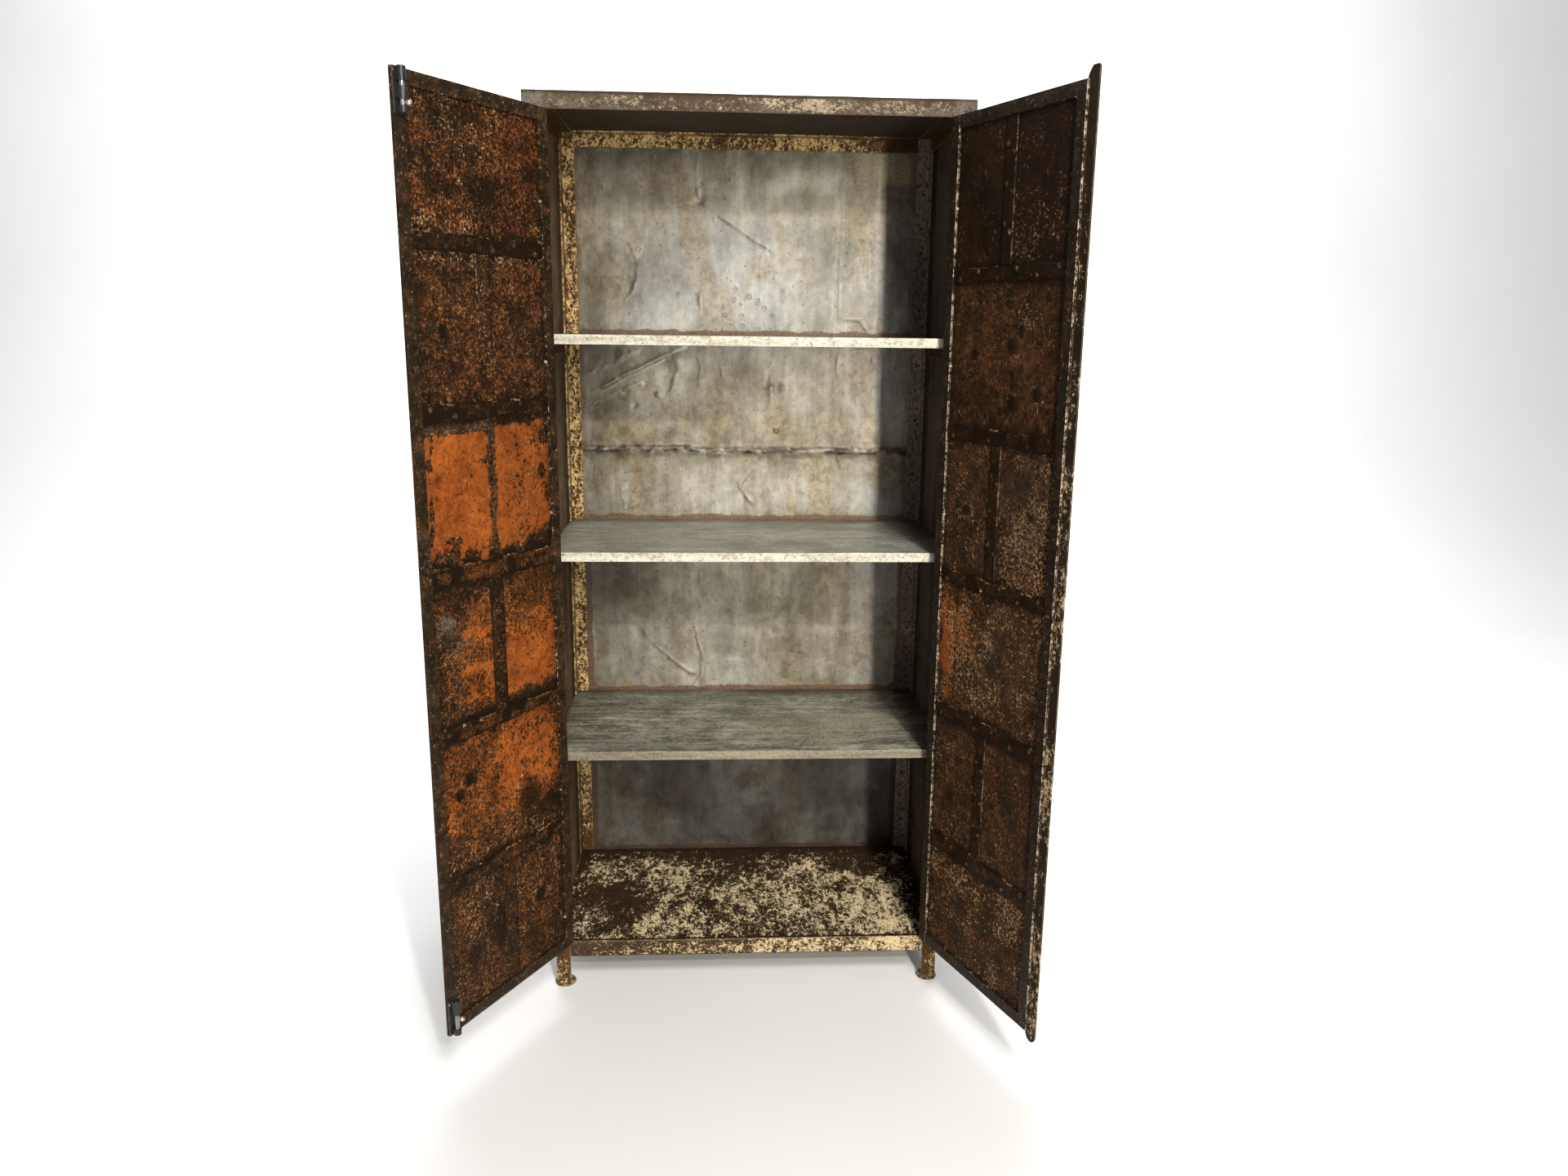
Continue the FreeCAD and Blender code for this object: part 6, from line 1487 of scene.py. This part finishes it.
# ----------------------------------------------------------------- tower bolts
AX, AY = -14.5, -218.3
for tag, z0, z1, sleeves, knob, rod in (
        ("upper", 1793.0, 1864.5, ((1793, 1804, 0), (1814, 1833.5, 1), (1842.5, 1864.5, 0)), 1808.0, (1795.0, 1865.0)),
        ("lower", 113.5, 187.0, ((114.5, 126.0, 0), (158.0, 187.0, 0)), 152.0, (113.7, 184.0))):
    p = Piece("left")
    bar(p, 2, (AX - 13, -227, z0), (AX + 13, -225.4, z1), 0.5, 12, (0.2, 0.2, 0, 0), seed=int(z0))
    for a, b, slot in sleeves:
        if slot:
            e, f, _ = basis((0, 0, 1))
            mid = math.degrees(math.atan2(f[1], e[1]))
            gap = math.degrees(math.asin(3.0 / 6.2))
            tube(p, (AX, AY, 0), (0, 0, 1), ring_loop(7.5, 4.95, a, b, 0.7), 26, mid + gap, mid + 360 - gap, ed=0.25)
        else:
            tube(p, (AX, AY, 0), (0, 0, 1), ring_loop(7.5, 4.95, a, b, 0.7), 30, ed=0.25)
        for s in (-1, 1):
            lo, hi = sorted((AX + s * 5.1, AX + s * 7.3))
            bar(p, 2, (lo, -226.4, a + 0.6), (hi, AY, b - 0.6), 0.5, 8, seed=5)
    p.done("vis_%s_bolt_barrel" % tag, BOLT, "left_door", "%s_bolt_barrel" % tag, "bolt_black")
    p = Piece("left")
    lathe(p, (AX, AY, 0), (0, 0, 1), [(0, rod[0]), (3.0, rod[0]), (4.2, rod[0] + 0.8), (4.5, rod[0] + 2), (4.5, rod[1] - 2.6),
                                      (4.0, rod[1] - 0.9), (2.6, rod[1] - 0.1), (0, rod[1])], 28, knob=0.0)
    prof = [(0, 2.0), (2.3, 2.0), (2.2, 5.0), (2.1, 8.2), (2.5, 8.8)]
    for t in np.linspace(-62, 90, 12):
        a = math.radians(t)
        prof.append((5.0 * math.cos(a), 13.5 + 5.0 * math.sin(a)))
    prof[-1] = (0, 18.5)
    lathe(p, (AX, AY, knob), (0, 1, 0), prof, 26, knob=1.0)
    p.done("vis_%s_bolt_rod" % tag, ROD, "%s_bolt" % tag, "%s_bolt_rod" % tag, "bolt_steel")

# ------------------------------------------------------------------ cover strip
p = Piece("right")


def strip_shape(z):
    """Rounded foot, sloping head."""
    foot = np.clip((z - 93.5) / 17.0, 0, 1)
    round_in = 14.2 * (1 - np.sqrt(np.clip(1 - (1 - foot) ** 2, 0, 1)))
    top = np.clip((1884.5 - z) / 20.0, 0, 1)
    inner = 12.0 * (1 - top) ** 1.6
    outer = 3.5 * np.clip(1 - (1884.5 - z) / 5.0, 0, 1) ** 2
    w = 0.5 * (fbm(z, 0 * z, 70, 601) - 0.5) * 2 + 0.5 * (fbm(z, 0 * z, 18, 602) - 0.5) * 2
    return round_in + outer + np.maximum(w, 0.0), -round_in - inner, 0 * z, 0 * z


def strip_masks(v):
    x, z = v[:, 0], v[:, 2]
    return 0.12 + 0.22 * (fbm(x, z, 160, 603) - 0.5) * 2 - 0.55 * step(1650, 1830, z + 60 * (fbm(x, z, 50, 605) - 0.5)) - 0.05 * step(1150, 1400, z)


zs_foot = np.array([93.5, 94.2, 95.5, 97.5, 100, 103, 107, 111])
zs_head = 1884.5 - np.array([20, 15, 11, 8, 5.5, 3.5, 1.8, 0.8, 0.0])


def strip(p):
    axis, a, b = 2, 0, 1
    st = np.concatenate([zs_foot, np.linspace(118, 1858, 190), zs_head])
    base, edge = round_section([(0, 0), (100, 0), (100, 100), (0, 100)], 10, guard=20)
    lo_a, hi_a, lo_b, hi_b = -20.5, 9.5, -237.0, -234.0
    sh = strip_shape(st)
    n_out = 0.35 * (fbm(st, 0 * st, 60, 604) - 0.5)

    def section(i):
        la, ha = lo_a + sh[0][i], hi_a + sh[1][i]
        w = ha - la
        r, g = min(0.8, 0.3 * w), min(1.4, 0.1 * w)

        def warp(t, width, rr, gg):
            near = np.minimum(t, 100 - t)
            d = np.where(near <= 10, near / 10 * rr, rr + (near - 10) / 20 * gg)
            return np.where(t <= 50, d, width - d)
        return np.stack([la + warp(base[:, 0], w, r, g), lo_b - abs(n_out[i]) + warp(base[:, 1], hi_b - lo_b + abs(n_out[i]), 0.8, 0.5)], -1)

    sweep(p, axis, st, section, edge, crm=strip_masks, drk=lambda v: 0.40 * step(0.54, 0.64, fbm(v[:, 0], v[:, 2], 60, 606)), pal=0.0)


strip(p)
# turned-in rim of the hole near the top of the strip
tube(p, (-8.5, -237.2, 1518), (0, 1, 0), ring_loop(4.6, 3.0, 0.0, 3.4, 0.5), 24, crm=0.8, ed=0.6, drk=0.0, pal=0.0)
# a dark disc fills the hole: painted shade for its inside
lathe(p, (-8.5, -237.25, 1518), (0, 1, 0), [(0, 0), (3.05, 0.0), (3.05, 3.42), (0, 3.42)], 24, drk=1.0, crm=-1.0, ed=0.0, pal=0.0)
p.done("vis_right_door_cover_strip", COVER, "right_door", "right_door_cover_strip", "cover_paint")

# ------------------------------------------------------- hasp, kept from the frame
for n in ("hasp_base", "hasp_pin", "hasp_tongue", "hasp_staple"):
    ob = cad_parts[n]
    me = ob.data
    me.materials.clear()
    me.materials.append(HASP)
    co = np.zeros(len(me.vertices) * 3, np.float32)
    me.vertices.foreach_get("co", co)
    me.attributes.new("tc", "FLOAT_VECTOR", "POINT").data.foreach_set("vector", co)
    w = ob.modifiers.new("join", "WELD")
    w.merge_threshold = 0.00002
    b = ob.modifiers.new("soft_edges", "BEVEL")
    b.width = 0.0006
    b.segments = 2
    b.limit_method = "ANGLE"
    b.angle_limit = math.radians(40)
    me.polygons.foreach_set("use_smooth", np.ones(len(me.polygons), bool))

# ------------------------------------------------------------------------ stage


def make_stage():
    m = Mat("pale_floor")
    m.tc = m.t.nodes.new("ShaderNodeTexCoord").outputs["Object"]
    cloud = m.noise(0.9, 3, 0.5)
    col = m.ramp(cloud, [(0.3, (0.86, 0.86, 0.86)), (0.7, (0.90, 0.90, 0.90))])
    return m.finish(col, 0.85, 0.0, 0.2)


prof = [(-9.0, 0.0), (3.0, 0.0)]
for k in range(1, 13):
    a = math.radians(k * 7.5)
    prof.append((3.0 + 2.5 * math.sin(a), 2.5 * (1 - math.cos(a))))
prof.append((5.5, 9.0))
verts, faces = [], []
for i, (y, z) in enumerate(prof):
    verts += [(-12.0, y, z), (12.0, y, z)]
    if i:
        faces.append((2 * i - 2, 2 * i - 1, 2 * i + 1, 2 * i))
me = bpy.data.meshes.new("stage_sweep")
me.from_pydata(verts, [], faces)
for poly in me.polygons:
    poly.use_smooth = True
stage = bpy.data.objects.new("stage_sweep", me)
me.materials.append(make_stage())
bpy.context.scene.collection.objects.link(stage)
stage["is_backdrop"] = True

world = bpy.data.worlds.new("studio")
bpy.context.scene.world = world
world.use_nodes = True
bg = world.node_tree.nodes["Background"]
bg.inputs["Color"].default_value = (0.93, 0.97, 1.0, 1.0)
bg.inputs["Strength"].default_value = 0.15


def lamp(name, at, target, size, power, colour=(1, 1, 1), tall=None):
    d = bpy.data.lights.new(name, "AREA")
    d.shape = "RECTANGLE" if tall else "DISK"
    d.size = size
    if tall:
        d.size_y = tall
    d.energy = power
    d.color = colour
    o = bpy.data.objects.new(name, d)
    o.location = at
    o.rotation_euler = (Vector(target) - Vector(at)).to_track_quat("-Z", "Y").to_euler()
    bpy.context.scene.collection.objects.link(o)
    return o


lamp("key", (0.95, -4.25, 1.40), (0.0, 0.0, 1.0), 0.17, 112.0, (1.0, 0.96, 0.89), tall=2.2)
lamp("upper", (0.92, -4.25, 3.08), (0.0, 0.0, 0.95), 0.22, 72.0, (1.0, 0.96, 0.89))
lamp("high_soft", (0.95, -3.8, 4.1), (0.0, -0.1, 0.6), 1.3, 150.0, (1.0, 0.97, 0.92))
lamp("fill", (-3.2, -3.6, 2.6), (0.0, 0.0, 0.9), 2.6, 10.0, (0.95, 0.98, 1.0))
lamp("backdrop", (0.0, 2.3, 5.0), (0.0, 5.5, 1.4), 4.5, 420.0)

# ----------------------------------------------------------------------- camera
rows = np.array([[0.998658019, -0.0505246355, 0.0113764299],
                 [-0.0000790907728, -0.221153931, -0.975238911],
                 [0.0517895326, 0.973929258, -0.220861142]])
cam = bpy.data.cameras.new("camera")
cam.sensor_fit = "HORIZONTAL"
cam.sensor_width = 36.0
cam.lens = 1378.715 / 1920.0 * 36.0
cam.clip_start, cam.clip_end = 0.05, 60.0
camera = bpy.data.objects.new("camera", cam)
axes = np.stack([rows[0], -rows[1], -rows[2]], 1)
mat = np.eye(4)
mat[:3, :3] = axes
mat[:3, 3] = (-0.05006335, -2.55211973, 1.45280914)
camera.matrix_world = Matrix([list(map(float, r)) for r in mat])
bpy.context.scene.collection.objects.link(camera)
bpy.context.scene.camera = camera

bpy.context.scene.view_settings.view_transform = "Standard"
bpy.context.scene.view_settings.look = "None"

bpy.context.view_layer.update()
low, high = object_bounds()
{"cad": [list(cad_low), list(cad_high)], "visual": [list(low), list(high)]}
